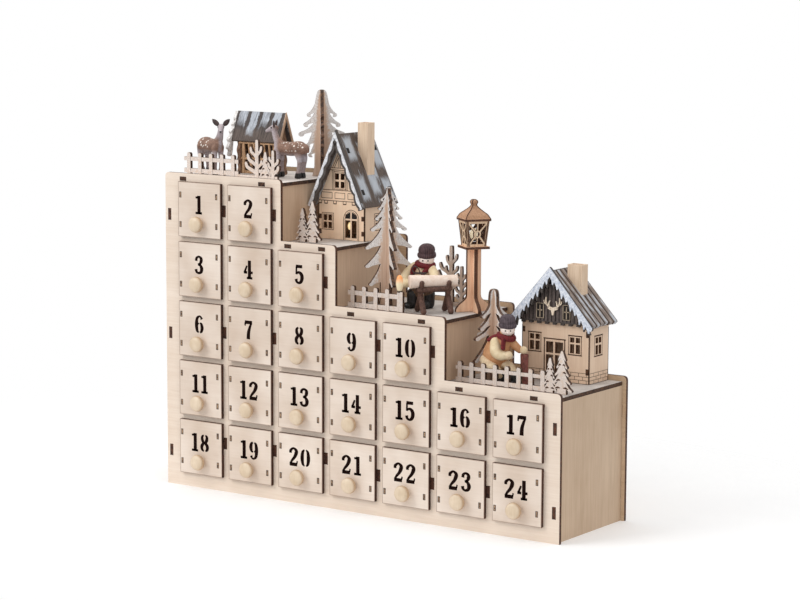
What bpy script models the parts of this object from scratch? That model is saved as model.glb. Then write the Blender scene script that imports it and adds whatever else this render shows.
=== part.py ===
"""A free-standing advent calendar cut from thin plywood: a stepped case with twenty-four
numbered drawers, and a winter scene of small houses, trees, fences and figures on its steps.

Numbers are millimetres in the case's own layout: X runs from the left edge of the front
panel, Y from its front face towards the back, Z up from the surface that it stands on.
"""
import math

import bmesh
import bpy
from mathutils import Matrix, Vector

MM = 0.001
GAP = 0.3                   # clearance left between neighbouring pieces
PLY = 3.0                   # thickness of every board

# Drawers: tray, front plate and turned knob
TRAY_W = 42.0
TRAY_H = 40.0
TRAY_D = 94.7
TRAY_PLAY = 0.5             # clearance at each side of a tray in its opening
PLATE_LAP = 2.2             # how far the plate covers the case at each side
PLATE_RISE = 6.65           # plate above the tray's rim
PLATE_DROP = 0.75           # plate below the tray's floor
KNOB_R = 6.8
KNOB_OUT = 8.6
KNOB_NECK = 3.4
KNOB_RISE = 11.7            # knob centre above the plate's lower edge
KNOB_SIDES = 14

# Case
SIDE_ROOM = 12.0            # between one tray and the next, with a divider in it
ROW_ROOM = 11.9             # between one tray and the one above, with a shelf in it
BACK_ROOM = 8.3             # behind a closed tray
FOOT_H = 9.8                # under the base board
END_ROOM = 19.1             # from the panel's left edge to the first tray
DIVIDER_SHIFT = 2.2         # dividers stand this far left of the middle between trays
SIDE_INSET = 4.5            # middle of the left side board from the panel's edge
TOP_ROOM = 4.6              # between the top row's plates and the top board's face
STEP_OVERHANGS = (6.6, 9.5, 10.9, 5.1)   # panel past the upright board under each step
STEP_RIMS = (3.4, 2.4, 3.9, 4.3)         # panel above each tread
CORNER = 3.2
UPRIGHT_TAB = 9.6           # length of the uprights' tabs
TREAD_TAB = 6.6             # length of the treads' tabs

# Battery box with its slide switch, on the back panel
BATTERY_W = 70.0
BATTERY_H = 36.0
BATTERY_D = 16.0
BATTERY_WALL = 1.6
BATTERY_X = 62.0
BATTERY_Z = 60.0
SWITCH_W = 5.4
SWITCH_H = 3.8
SWITCH_OUT = 1.6
SWITCH_TRAVEL = 4.0

COLUMN = TRAY_W + SIDE_ROOM
ROW = TRAY_H + ROW_ROOM
DEPTH = TRAY_D + BACK_ROOM                # front panel's face to the back panel's inner face
DRAWERS_IN_ROW = (2, 3, 5, 7, 7)          # from the top row down


def column_x(column):
    """Middle of a drawer column, counted from the left."""
    return END_ROOM + TRAY_W / 2 + COLUMN * column


def shelf_top(row):
    """Upper face of the board that carries a row of drawers; row 0 is the top one."""
    return FOOT_H + PLY + ROW * (4 - row)


BOARD_FRONT = PLY + GAP
BOARD_BACK = DEPTH - GAP
LAP = (BOARD_FRONT + BOARD_BACK) / 2      # depth at which crossing boards meet
CAP_TOP = shelf_top(0) + GAP + TRAY_H + PLATE_RISE + TOP_ROOM - 0.95
UPRIGHTS = [SIDE_INSET] + [column_x(k + 0.5) - DIVIDER_SHIFT for k in range(7)]
UPRIGHTS[7] += 8.0                        # the right side closes the last column's room
TREAD_TOPS = (CAP_TOP, shelf_top(0), shelf_top(1), shelf_top(2))
STEP_RIGHTS = [UPRIGHTS[board] + STEP_OVERHANGS[k] for k, board in enumerate((2, 3, 5, 7))]
STEP_LEFTS = [0.0] + STEP_RIGHTS[:3]
WIDTH = STEP_RIGHTS[3]
CENTRE_X = WIDTH / 2
CENTRE_Y = (DEPTH + BATTERY_D + SWITCH_OUT - KNOB_OUT) / 2


# Scene, materials and helpers

for old in list(bpy.data.objects):
    bpy.data.objects.remove(old)

calendar = bpy.data.collections.new("advent_calendar")
bpy.context.scene.collection.children.link(calendar)


def finish(name, red, green, blue, roughness, metallic=0.0):
    """A plain material from an 8-bit colour."""
    channels = [value / 255 for value in (red, green, blue)]
    linear = [c / 12.92 if c <= 0.04045 else ((c + 0.055) / 1.055) ** 2.4 for c in channels]
    material = bpy.data.materials.new(name)
    material.use_nodes = True
    shader = material.node_tree.nodes["Principled BSDF"]
    shader.inputs["Base Color"].default_value = (*linear, 1.0)
    shader.inputs["Roughness"].default_value = roughness
    shader.inputs["Metallic"].default_value = metallic
    material.diffuse_color = (*linear, 1.0)
    return material


FRONT_PLY = finish("front_plywood", 226, 208, 188, 0.62)
BOARD_PLY = finish("board_plywood", 196, 170, 138, 0.65)
DRAWER_PLY = finish("drawer_plywood", 232, 216, 198, 0.6)
TREAD_PAINT = finish("pale_grey_paint", 205, 203, 200, 0.75)
SNOW_PAINT = finish("snow_paint", 232, 228, 224, 0.8)
WALL_PLY = finish("house_plywood", 205, 170, 130, 0.65)
ROOF_STAIN = finish("dark_roof_stain", 74, 70, 68, 0.7)
TREE_PLY = finish("tree_plywood", 208, 184, 156, 0.68)
LANTERN_PLY = finish("lantern_plywood", 190, 148, 108, 0.62)
FUR = finish("brown_fur", 128, 100, 86, 0.85)
CREAM_CLOTH = finish("cream_cloth", 222, 206, 176, 0.85)
TAN_CLOTH = finish("tan_cloth", 214, 168, 116, 0.85)
BLACK_PLASTIC = finish("black_plastic", 28, 28, 30, 0.45)
SWITCH_PLASTIC = finish("switch_plastic", 215, 215, 212, 0.4)


def welded(bm):
    """Close up a working mesh: weld it, turn its faces outwards, hand over mesh data."""
    bmesh.ops.remove_doubles(bm, verts=bm.verts, dist=0.0005)
    bmesh.ops.recalc_face_normals(bm, faces=bm.faces)
    mesh = bpy.data.meshes.new("shape")
    bm.to_mesh(mesh)
    bm.free()
    return mesh


def box(x0, x1, y0, y1, z0, z1):
    """A block between the given limits."""
    bm = bmesh.new()
    bmesh.ops.create_cube(bm, size=1.0)
    size = Vector((x1 - x0, y1 - y0, z1 - z0))
    middle = Vector((x0 + x1, y0 + y1, z0 + z1)) / 2
    bmesh.ops.scale(bm, vec=size, verts=bm.verts)
    bmesh.ops.translate(bm, vec=middle, verts=bm.verts)
    return welded(bm)


def evaluated_shape(holder):
    """The mesh that a helper object shows, with the helper itself removed."""
    calendar.objects.link(holder)
    bpy.context.view_layer.update()
    graph = bpy.context.evaluated_depsgraph_get()
    shown = bpy.data.meshes.new_from_object(holder.evaluated_get(graph))
    bpy.data.objects.remove(holder)
    bm = bmesh.new()
    bm.from_mesh(shown)
    bpy.data.meshes.remove(shown)
    return bm


PLANES = {
    "front": Matrix(((1, 0, 0, 0), (0, 0, 1, 0), (0, 1, 0, 0), (0, 0, 0, 1))),
    "side": Matrix(((0, 0, 1, 0), (1, 0, 0, 0), (0, 1, 0, 0), (0, 0, 0, 1))),
    "level": Matrix.Identity(4),
}


def sheet(outline, plane, middle, thickness=PLY, holes=()):
    """A flat board cut to a closed outline, with holes.

    In the plane "front" it takes (X, Z) points and has its thickness along Y, in "side"
    it takes (Y, Z) points and has it along X, in "level" (X, Y) points and along Z."""
    curve = bpy.data.curves.new("outline", "CURVE")
    curve.dimensions = "2D"
    curve.fill_mode = "BOTH"
    curve.extrude = thickness / 2
    for loop in (outline, *holes):
        spline = curve.splines.new("POLY")
        spline.points.add(len(loop) - 1)
        for point, (u, v) in zip(spline.points, loop):
            point.co = (u, v, 0.0, 1.0)
        spline.use_cyclic_u = True
    bm = evaluated_shape(bpy.data.objects.new("outline", curve))
    bmesh.ops.translate(bm, vec=(0.0, 0.0, middle), verts=bm.verts)
    bmesh.ops.transform(bm, matrix=PLANES[plane], verts=bm.verts)
    return welded(bm)


def ball(centre, radii, around=8, rows=6):
    """An egg or ball with its own radius along X, Y and Z."""
    bm = bmesh.new()
    bmesh.ops.create_uvsphere(bm, u_segments=around, v_segments=rows, radius=1.0)
    bmesh.ops.scale(bm, vec=radii, verts=bm.verts)
    bmesh.ops.translate(bm, vec=centre, verts=bm.verts)
    return welded(bm)


def rod(start, end, r_start, r_end=None, around=7):
    """A round bar between two points, which may taper."""
    start, end = Vector(start), Vector(end)
    bm = bmesh.new()
    bmesh.ops.create_cone(bm, cap_ends=True, segments=around, radius1=r_start,
                          radius2=r_start if r_end is None else r_end,
                          depth=(end - start).length)
    turn = (end - start).to_track_quat("Z", "Y").to_matrix().to_4x4()
    bmesh.ops.transform(bm, matrix=Matrix.Translation((start + end) / 2) @ turn, verts=bm.verts)
    return welded(bm)


def block(low_half, low, high_half, high):
    """An upright square block about the Z axis that may taper."""
    bm = bmesh.new()
    corner = math.sqrt(2.0)
    bmesh.ops.create_cone(bm, cap_ends=True, segments=4, radius1=low_half * corner,
                          radius2=high_half * corner, depth=high - low)
    place = Matrix.Translation((0.0, 0.0, (low + high) / 2)) @ Matrix.Rotation(math.pi / 4, 4, "Z")
    bmesh.ops.transform(bm, matrix=place, verts=bm.verts)
    return welded(bm)


def turned(profile, steps):
    """A turned piece about Z. The profile's (radius, height) points start on the axis at
    the top, run down the outer side and end on the axis."""
    line = bpy.data.meshes.new("profile")
    line.from_pydata([(radius, 0.0, height) for radius, height in profile],
                     [(k, k + 1) for k in range(len(profile) - 1)], [])
    holder = bpy.data.objects.new("profile", line)
    screw = holder.modifiers.new("turn", "SCREW")
    screw.steps = steps
    screw.render_steps = steps
    screw.use_merge_vertices = True
    screw.merge_threshold = 0.0001
    return welded(evaluated_shape(holder))


def fused(shapes, cuts=()):
    """One closed body from overlapping shapes, less the shapes in cuts."""
    base = bpy.data.objects.new("body", shapes[0])
    tools = []
    for operation, group in (("UNION", shapes[1:]), ("DIFFERENCE", cuts)):
        for shape in group:
            tool = bpy.data.objects.new("tool", shape)
            calendar.objects.link(tool)
            tools.append(tool)
            step = base.modifiers.new("step", "BOOLEAN")
            step.operation = operation
            step.object = tool
    bm = evaluated_shape(base)
    for tool in tools:
        bpy.data.objects.remove(tool)
    bmesh.ops.dissolve_degenerate(bm, edges=bm.edges, dist=0.03)
    bmesh.ops.dissolve_limit(bm, angle_limit=math.radians(0.3), verts=bm.verts, edges=bm.edges)
    bmesh.ops.delete(bm, geom=[vert for vert in bm.verts if not vert.link_faces], context="VERTS")
    return welded(bm)


def placed(mesh, x, y, z, turn=0.0):
    """A shape turned about Z by so many degrees, then moved."""
    mesh.transform(Matrix.Translation((x, y, z)) @ Matrix.Rotation(math.radians(turn), 4, "Z"))
    return mesh


def keep(name, mesh, material, origin=None, smooth=False):
    """Turn a finished shape into a named piece; its origin is its middle if not given."""
    if origin is None:
        points = [vert.co for vert in mesh.vertices]
        origin = [(min(p[k] for p in points) + max(p[k] for p in points)) / 2 for k in range(3)]
    origin = Vector(origin)
    mesh.transform(Matrix.Scale(MM, 4) @ Matrix.Translation(-origin))
    mesh.materials.clear()
    mesh.materials.append(material)
    for face in mesh.polygons:
        face.use_smooth = smooth
    if smooth:
        mesh.set_sharp_from_angle(angle=math.radians(50))
    piece = bpy.data.objects.new(name, mesh)
    piece.location = (origin - Vector((CENTRE_X, CENTRE_Y, 0.0))) * MM
    calendar.objects.link(piece)
    return piece


def rect(u0, u1, v0, v1):
    """A rectangular outline."""
    return [(u0, v0), (u1, v0), (u1, v1), (u0, v1)]


def mirrored(right):
    """A closed outline from its right half, which runs upwards."""
    return right + [(-u, v) for u, v in reversed(right)]


def rounded(points, corners, radius, steps=3):
    """An outline with the listed corners rounded off."""
    loop = []
    for index, point in enumerate(points):
        if index not in corners:
            loop.append(point)
            continue
        here = Vector(point)
        before = (Vector(points[index - 1]) - here).normalized()
        after = (Vector(points[(index + 1) % len(points)]) - here).normalized()
        centre = here + (before + after) * radius
        for k in range(steps + 1):
            angle = math.pi / 2 * k / steps
            spot = centre - after * radius * math.cos(angle) - before * radius * math.sin(angle)
            loop.append((spot.x, spot.y))
    return loop


# Front and back panels

# Each upright board's tabs, as the row of drawers they are beside and their height above
# that row's shelf
UPRIGHT_TABS = (
    ((0, 17.6), (2, 17.6), (4, 17.4)),
    ((0, 23.6), (2, 22.6), (4, 29.6)),
    ((0, 23.6), (2, 22.6), (4, 29.6)),
    ((1, 22.9), (4, 29.4)),
    ((2, 26.7), (4, 21.5)),
    ((2, 26.7), (4, 21.5)),
    ((3, 31.1), (4, 21.5)),
    ((3, 27.8), (4, 12.2)),
)
# Each tread's tabs, as distances from the left and right ends of the tread's own step
TREAD_TABS = ((19.7, 20.2), (7.4, 14.1), (15.8, 22.7), (14.3, 25.0))


def upright_tabs(board):
    """Middle heights of an upright board's tabs."""
    return [shelf_top(row) + rise for row, rise in UPRIGHT_TABS[board]]


def tread_tabs(step):
    """Middles along X of a tread's tabs."""
    left, right = TREAD_TABS[step]
    return (STEP_LEFTS[step] + left, STEP_RIGHTS[step] - right)


corner_points = [(0.0, 0.0), (WIDTH, 0.0)]
for step in (3, 2, 1, 0):
    rim = TREAD_TOPS[step] + STEP_RIMS[step]
    corner_points += [(STEP_RIGHTS[step], rim), (STEP_LEFTS[step], rim)]
stepped_outline = rounded(corner_points, (2, 4, 6, 8, 9), CORNER)

slots = []
for board in range(8):
    for middle in upright_tabs(board):
        reach = UPRIGHT_TAB / 2 + GAP
        slots.append(rect(UPRIGHTS[board] - PLY / 2 - GAP, UPRIGHTS[board] + PLY / 2 + GAP,
                          middle - reach, middle + reach))
for step in range(4):
    for middle in tread_tabs(step):
        reach = TREAD_TAB / 2 + GAP
        top = TREAD_TOPS[step]
        slots.append(rect(middle - reach, middle + reach, top - PLY - GAP, top + GAP))

openings = []
for row, count in enumerate(DRAWERS_IN_ROW):
    for column in range(count):
        reach = TRAY_W / 2 + TRAY_PLAY
        floor = shelf_top(row)
        openings.append(rect(column_x(column) - reach, column_x(column) + reach,
                             floor, floor + GAP + TRAY_H + PLATE_RISE - 1.55))

keep("front_panel", sheet(stepped_outline, "front", PLY / 2, holes=slots + openings), FRONT_PLY)
keep("back_panel", sheet(stepped_outline, "front", DEPTH + PLY / 2, holes=slots), BOARD_PLY)


# Upright and level boards, halved into each other where they cross

UPRIGHT_NAMES = ("left_side", "divider_1", "divider_2", "divider_3", "divider_4",
                 "divider_5", "divider_6", "right_side")
# which tread lies on each upright, and the lowest rows whose shelves cross it
UNDER_TREAD = (0, 0, 0, 1, 2, 2, 3, 3)


def crossing_rows(board):
    """Rows whose shelves cross an upright board."""
    if board in (0, 7):
        return []
    return list(range(UNDER_TREAD[board], 5))


def upright_outline(board):
    """(Y, Z) outline of an upright: tabs at both ends, laps open towards the front."""
    top = TREAD_TOPS[UNDER_TREAD[board]] - PLY - GAP
    tabs = sorted(upright_tabs(board))
    loop = [(BOARD_BACK, 0.0)]
    for middle in tabs:
        low, high = middle - UPRIGHT_TAB / 2, middle + UPRIGHT_TAB / 2
        loop += [(BOARD_BACK, low), (DEPTH + PLY, low), (DEPTH + PLY, high), (BOARD_BACK, high)]
    loop += [(BOARD_BACK, top), (BOARD_FRONT, top)]
    features = [(middle, UPRIGHT_TAB / 2, 0.0) for middle in tabs]
    for row in crossing_rows(board):
        features.append((shelf_top(row) - PLY / 2, PLY / 2 + GAP, LAP + GAP / 2))
    for middle, reach, depth in sorted(features, reverse=True):
        loop += [(BOARD_FRONT, middle + reach), (depth, middle + reach),
                 (depth, middle - reach), (BOARD_FRONT, middle - reach)]
    return loop + [(BOARD_FRONT, 0.0)]


for board, name in enumerate(UPRIGHT_NAMES):
    keep(name, sheet(upright_outline(board), "side", UPRIGHTS[board]), BOARD_PLY)


def level_outline(left, right, crossed, tabs):
    """(X, Y) outline of a level board: tabs at both edges, laps open towards the back."""
    loop = [(left, BOARD_FRONT)]
    for middle in tabs:
        low, high = middle - TREAD_TAB / 2, middle + TREAD_TAB / 2
        loop += [(low, BOARD_FRONT), (low, 0.0), (high, 0.0), (high, BOARD_FRONT)]
    loop += [(right, BOARD_FRONT), (right, BOARD_BACK)]
    features = [(middle, TREAD_TAB / 2, DEPTH + PLY) for middle in tabs]
    features += [(UPRIGHTS[board], PLY / 2 + GAP, LAP - GAP / 2) for board in crossed]
    for middle, reach, depth in sorted(features, reverse=True):
        loop += [(middle + reach, BOARD_BACK), (middle + reach, depth),
                 (middle - reach, depth), (middle - reach, BOARD_BACK)]
    return loop + [(left, BOARD_BACK)]


inner_left = UPRIGHTS[0] + PLY / 2 + GAP
inner_right = UPRIGHTS[7] - PLY / 2 - GAP
# name, row of drawers on it (the cap has none), left end, right end, tabs
LEVELS = (
    ("top_board", None, UPRIGHTS[0] - PLY / 2, UPRIGHTS[2] + 2.8, tread_tabs(0)),
    ("shelf_1", 0, inner_left, UPRIGHTS[3] + 5.2, tread_tabs(1)),
    ("shelf_2", 1, inner_left, UPRIGHTS[5] + 5.6, tread_tabs(2)),
    ("shelf_3", 2, inner_left, UPRIGHTS[7] + PLY / 2, tread_tabs(3)),
    ("shelf_4", 3, inner_left, inner_right, ()),
    ("base_board", 4, inner_left, inner_right, ()),
)
for name, row, left, right, tabs in LEVELS:
    top = CAP_TOP if row is None else shelf_top(row)
    crossed = [board for board in range(8) if row in crossing_rows(board)]
    paint = TREAD_PAINT if tabs else BOARD_PLY
    keep(name, sheet(level_outline(left, right, crossed, tabs), "level", top - PLY / 2), paint)


# Drawers

PLATE_W = TRAY_W + 2 * PLATE_LAP
PLATE_H = PLATE_DROP + TRAY_H + PLATE_RISE
KNOB_PROFILE = ((0.0, KNOB_OUT), (0.62 * KNOB_R, KNOB_OUT - 1.0), (KNOB_R, KNOB_OUT - 3.8),
                (0.92 * KNOB_R, KNOB_OUT - 5.4), (KNOB_NECK, 1.4), (KNOB_NECK, -1.0),
                (0.0, -1.0))


def drawer_shape():
    """Plate, tray and knob as one body, measured from the middle of the plate's lower
    back edge."""
    inner = TRAY_W / 2 - PLY
    plate = box(-PLATE_W / 2, PLATE_W / 2, -PLY, 0.0, 0.0, PLATE_H)
    tray = box(-TRAY_W / 2, TRAY_W / 2, -PLY / 2, TRAY_D, PLATE_DROP, PLATE_DROP + TRAY_H)
    inside = box(-inner, inner, 0.3, TRAY_D - PLY, PLATE_DROP + PLY, PLATE_DROP + TRAY_H + 1.0)
    knob = turned(KNOB_PROFILE, KNOB_SIDES)
    knob.transform(Matrix.Translation((0.0, -PLY, KNOB_RISE)) @ Matrix.Rotation(math.pi / 2, 4, "X"))
    return fused([plate, tray, knob], [inside])


drawer_mesh = drawer_shape()
drawer_mesh.transform(Matrix.Scale(MM, 4))
drawer_mesh.materials.append(DRAWER_PLY)
number = 0
for row, count in enumerate(DRAWERS_IN_ROW):
    for column in range(count):
        number += 1
        drawer = bpy.data.objects.new(f"drawer_{number:02d}", drawer_mesh)
        drawer.location = Vector((column_x(column) - CENTRE_X, -GAP - CENTRE_Y,
                                  shelf_top(row) + GAP - PLATE_DROP)) * MM
        calendar.objects.link(drawer)


# Battery box, open towards the back panel, and its slide switch

battery_front = DEPTH + PLY + GAP
battery_back = battery_front + BATTERY_D
slot_w = SWITCH_W + SWITCH_TRAVEL + 2 * GAP
slot_x = BATTERY_X + BATTERY_W - 16.0
slot_z = BATTERY_Z + BATTERY_H / 2
slot_h = SWITCH_H + 2 * GAP
keep("battery_box", fused(
    [box(BATTERY_X, BATTERY_X + BATTERY_W, battery_front, battery_back,
         BATTERY_Z, BATTERY_Z + BATTERY_H)],
    [box(BATTERY_X + BATTERY_WALL, BATTERY_X + BATTERY_W - BATTERY_WALL, battery_front - 1.0,
         battery_back - BATTERY_WALL, BATTERY_Z + BATTERY_WALL, BATTERY_Z + BATTERY_H - BATTERY_WALL),
     box(slot_x - slot_w / 2, slot_x + slot_w / 2, battery_back - 2 * BATTERY_WALL,
         battery_back + 1.0, slot_z - slot_h / 2, slot_z + slot_h / 2)]), BLACK_PLASTIC)

# the slider rests at the left end of its slot, with a wide foot behind the wall
slider_x = slot_x - SWITCH_TRAVEL / 2
foot_y = battery_back - BATTERY_WALL - GAP
foot_w = slot_w / 2 + SWITCH_TRAVEL / 2 + 0.6
keep("power_switch", fused([
    box(slider_x - SWITCH_W / 2, slider_x + SWITCH_W / 2, foot_y - 1.0, battery_back + SWITCH_OUT,
        slot_z - SWITCH_H / 2, slot_z + SWITCH_H / 2),
    box(slider_x - foot_w, slider_x + foot_w, foot_y - 1.5, foot_y,
        slot_z - slot_h, slot_z + slot_h)]), SWITCH_PLASTIC)


# Flat trees and fences

def fir(x, height, half, tiers, y):
    """A flat fir in front view: snow-laden branches that droop, shorter towards the top."""
    rise = height / (tiers + 0.7)
    right = [(half * 0.45, 0.0)]
    for k in range(tiers):
        reach = half * (1 - 0.8 * k / tiers)
        tip = rise * (k + 0.45)
        right += [(reach * 0.5, tip + rise * 0.16), (reach - 0.5, tip - 0.45), (reach, tip + 0.35),
                  (reach * 0.72, tip + rise * 0.42)]
    right.append((0.5, height))
    loop = [(x + u, v) for u, v in mirrored(right)]
    return sheet(loop, "front", y)


def twigs(x, height, half, branches, y):
    """A bare flat trunk in front view; a branch is (side, height, reach, rise, width)."""
    sides = {1: [(half, 0.0)], -1: [(half, 0.0)]}
    for side, low, reach, rise, width in branches:
        sides[side] += [(half, low - width / 2), (reach, low + rise - 0.6),
                        (reach, low + rise + 0.8), (half, low + width / 2)]
    right = [(x + u, v) for u, v in sides[1] + [(half * 0.6, height)]]
    left = [(x - u, v) for u, v in sides[-1] + [(half * 0.6, height)]]
    return sheet(right + left[::-1], "front", y)


def pickets(x0, x1, first, spacing, count, width, rails, height, y):
    """Posts with blunt tips on two rails, each rail given as its lower and upper edge."""
    shapes = [box(x0, x1, y - PLY / 2, y + PLY / 2, low, high) for low, high in rails]
    for k in range(count):
        x = first + spacing * k
        tip = [(x - width / 2, 0.0), (x + width / 2, 0.0), (x + width / 2, height - 1.0),
               (x, height), (x - width / 2, height - 1.0)]
        shapes.append(sheet(tip, "front", y))
    return shapes


def strip(x0, x1, y, height=3.0):
    """The low board that joins what stands on one line."""
    return box(x0, x1, y - PLY / 2, y + PLY / 2, 0.0, height)


def on_tread(step, mesh, x=0.0, y=0.0, turn=0.0):
    """A shape drawn about its own foot, set on a tread; x and y run from the step's left
    front corner."""
    return placed(mesh, STEP_LEFTS[step] + x, y, TREAD_TOPS[step] + GAP, turn)


FENCE_Y = 19.5
keep("fence_1", on_tread(0, fused(
    pickets(6.0, 66.0, 11.4, 12.15, 5, 3.8, ((1.9, 5.6), (12.2, 15.6)), 19.3, FENCE_Y)
    + [strip(60.0, 108.0, FENCE_Y),
       twigs(86.7, 33.8, 1.9, ((-1, 8.0, 12.0, 9.0, 4.5), (-1, 16.0, 13.5, 9.5, 4.0),
                               (-1, 23.0, 8.0, 7.0, 3.0), (1, 18.0, 6.5, 8.0, 3.6)), FENCE_Y),
       fir(95.0, 24.0, 6.0, 4, FENCE_Y),
       twigs(103.4, 26.5, 1.8, ((1, 9.0, 5.6, 7.0, 3.6), (1, 16.0, 5.0, 6.0, 3.0),
                                (-1, 14.0, 4.4, 6.0, 3.0)), FENCE_Y)])), SNOW_PAINT)

keep("fence_2", on_tread(2, fused(
    pickets(-0.8, 53.6, 4.6, 11.75, 4, 3.9, ((1.3, 5.2), (11.4, 15.2)), 19.1, FENCE_Y)
    + [box(49.6, 55.4, FENCE_Y - PLY / 2, FENCE_Y + PLY / 2, 0.0, 19.4),
       ball((52.5, FENCE_Y, 22.4), (2.8, 2.6, 4.6))])), SNOW_PAINT)

LOW_FENCE_Y = 21.5
keep("fence_3", on_tread(3, fused(
    pickets(-2.4, 88.0, 1.6, 11.3, 8, 3.9, ((0.9, 4.4), (10.8, 13.8)), 17.4, LOW_FENCE_Y)
    + [fir(87.6, 28.6, 5.6, 4, LOW_FENCE_Y), fir(98.6, 35.2, 9.6, 5, LOW_FENCE_Y)])), SNOW_PAINT)

PAIR_Y = 22.5
keep("fir_pair", on_tread(1, fused([
    fir(6.9, 28.6, 7.0, 5, PAIR_Y), fir(17.5, 35.2, 8.6, 6, PAIR_Y)])), SNOW_PAINT)

BARE_Y = DEPTH - 21.5
keep("bare_tree", on_tread(2, fused([
    twigs(61.8, 50.6, 1.9, ((-1, 22.0, 12.0, 12.0, 4.0), (-1, 30.0, 13.6, 14.0, 3.4),
                            (-1, 38.0, 7.0, 7.0, 3.0), (1, 26.0, 8.0, 10.0, 3.4),
                            (1, 34.0, 7.4, 12.0, 3.0)), BARE_Y),
    strip(53.6, 75.6, BARE_Y),
    fir(70.8, 34.0, 5.4, 6, BARE_Y)])), SNOW_PAINT)


# Trees of two flat boards crossed at right angles

def crossed_tree(foot, blunt, lift, tiers, crown):
    """Both boards have one outline: a foot, drooping branches and a crown.

    A branch is (half width at its tip, height of its tip, half width of the notch under it),
    from the bottom up. The notch ends `lift` above the tip, the tip is `blunt` thick, and the
    upper side of a branch hangs a little below the straight line to the next notch."""
    right = [(foot, 0.0), (foot * 0.74, tiers[0][1] * 0.5)]
    tops = [(tier[2], tier[1] + lift) for tier in tiers[1:]] + crown[:1]
    for (reach, tip, inner), (top_u, top_v) in zip(tiers, tops):
        right += [(inner, tip + lift), (reach - blunt * 0.7, tip - blunt * 0.45), (reach, tip - blunt * 0.1),
                  (reach - blunt * 0.2, tip + blunt * 0.45)]
        right.append((reach * 0.52 + top_u * 0.42, tip * 0.52 + top_v * 0.48))
    loop = mirrored(right + crown)
    return fused([sheet(loop, "front", 0.0), sheet(loop, "side", 0.0)])


keep("tree_1", on_tread(0, crossed_tree(
    8.2, 3.4, 2.2, [(11.6, 17.6, 6.4), (13.6, 26.2, 7.0), (20.2, 35.6, 8.6), (16.0, 43.8, 7.0),
                    (13.0, 52.4, 6.4)],
    [(6.2, 62.0), (4.7, 69.6), (3.4, 73.2), (1.6, 74.4)]), 109.4, DEPTH - 23.0, 38.0), TREE_PLY)
keep("tree_2", on_tread(2, crossed_tree(
    8.2, 1.5, 0.4, [(17.0, 19.3, 7.0), (20.3, 34.7, 7.0), (20.5, 50.1, 6.8), (15.6, 65.1, 6.4),
                    (11.8, 74.4, 6.0), (9.0, 82.7, 5.0), (7.2, 90.3, 4.2)],
    [(2.6, 96.4), (1.6, 101.6)]), 25.6, 40.0, 51.8), TREE_PLY)
keep("tree_3", on_tread(3, crossed_tree(
    9.0, 2.2, 2.6, [(20.4, 16.3, 9.4), (19.8, 34.4, 5.4), (15.1, 42.4, 4.4), (13.1, 52.4, 4.2)],
    [(5.0, 61.4), (4.6, 70.0), (3.4, 73.6), (1.6, 74.7)]), 15.8, 48.6, -18.0), TREE_PLY)


# Houses: walls in one body, roof with barge boards and chimney in another

def gable(half, depth, walls, peak, y, cuts):
    """Four walls, open above and below, with pointed ends; y is the front wall's face."""
    solid = sheet([(-half, 0.0), (half, 0.0), (half, walls), (0.0, peak), (-half, walls)],
                  "front", y + depth / 2, depth)
    room = box(-half + PLY, half - PLY, y + PLY, y + depth - PLY, -5.0, peak + 5.0)
    return fused([solid], [room] + cuts)


def barge(half, apex, tip, width, y, waves, swing):
    """The pair of sloping boards under a roof's front edge, wavy along the lower edge."""
    rise = apex - tip
    length = math.hypot(half, rise)
    right = [(half, tip)]
    for k in range(waves * 2):
        along = 1 - k / (waves * 2)
        deep = width + (swing if k % 2 else 0.0)
        right.append((half * along - rise / length * deep, apex - rise * along - half / length * deep))
    right = [point for point in right if point[0] > 1.0]
    low = (0.0, apex - (width + swing) * length / half)
    left = [(-u, v) for u, v in reversed(right)]
    return sheet([(0.0, apex)] + right + [low] + left, "front", y, PLY + 0.8)


def chevron(half, ridge, eave, y0, y1, thickness):
    """Two roof boards that meet at the ridge, with upright cut eaves."""
    drop = thickness * math.hypot(half, ridge - eave) / half
    right = [(half, eave), (half, eave - drop * 0.55), (half - 2.0, eave - drop * 0.55)]
    slope = (ridge - eave) / half
    right.append((half - 2.0, eave - drop + 2.0 * slope))
    right = [right[0], right[1], (half - drop * 0.45 / slope, eave - drop * 0.55)]
    left = [(-u, v) for u, v in reversed(right)]
    return sheet([(0.0, ridge)] + right + [(0.0, ridge - drop)] + left,
                 "front", (y0 + y1) / 2, y1 - y0)


def under_roof(half_wall, half_roof, ridge, eave, thickness):
    """Heights of a wall's top and of its peak that clear the roof boards by GAP."""
    length = math.hypot(half_roof, ridge - eave)
    peak = ridge - (thickness + GAP) * length / half_roof
    return peak - half_wall * (ridge - eave) / half_roof, peak


def lights(columns, rows, wall_y):
    """Window panes or door lights cut through a front wall."""
    return [box(x0, x1, wall_y - 1.0, wall_y + PLY + 1.0, z0, z1)
            for x0, x1 in columns for z0, z1 in rows]


# half-timbered house, drawn about the middle of its front
HOUSE_HALF = 24.5
HOUSE_DEPTH = 43.0
HOUSE_Y = DEPTH - 50.0
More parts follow.
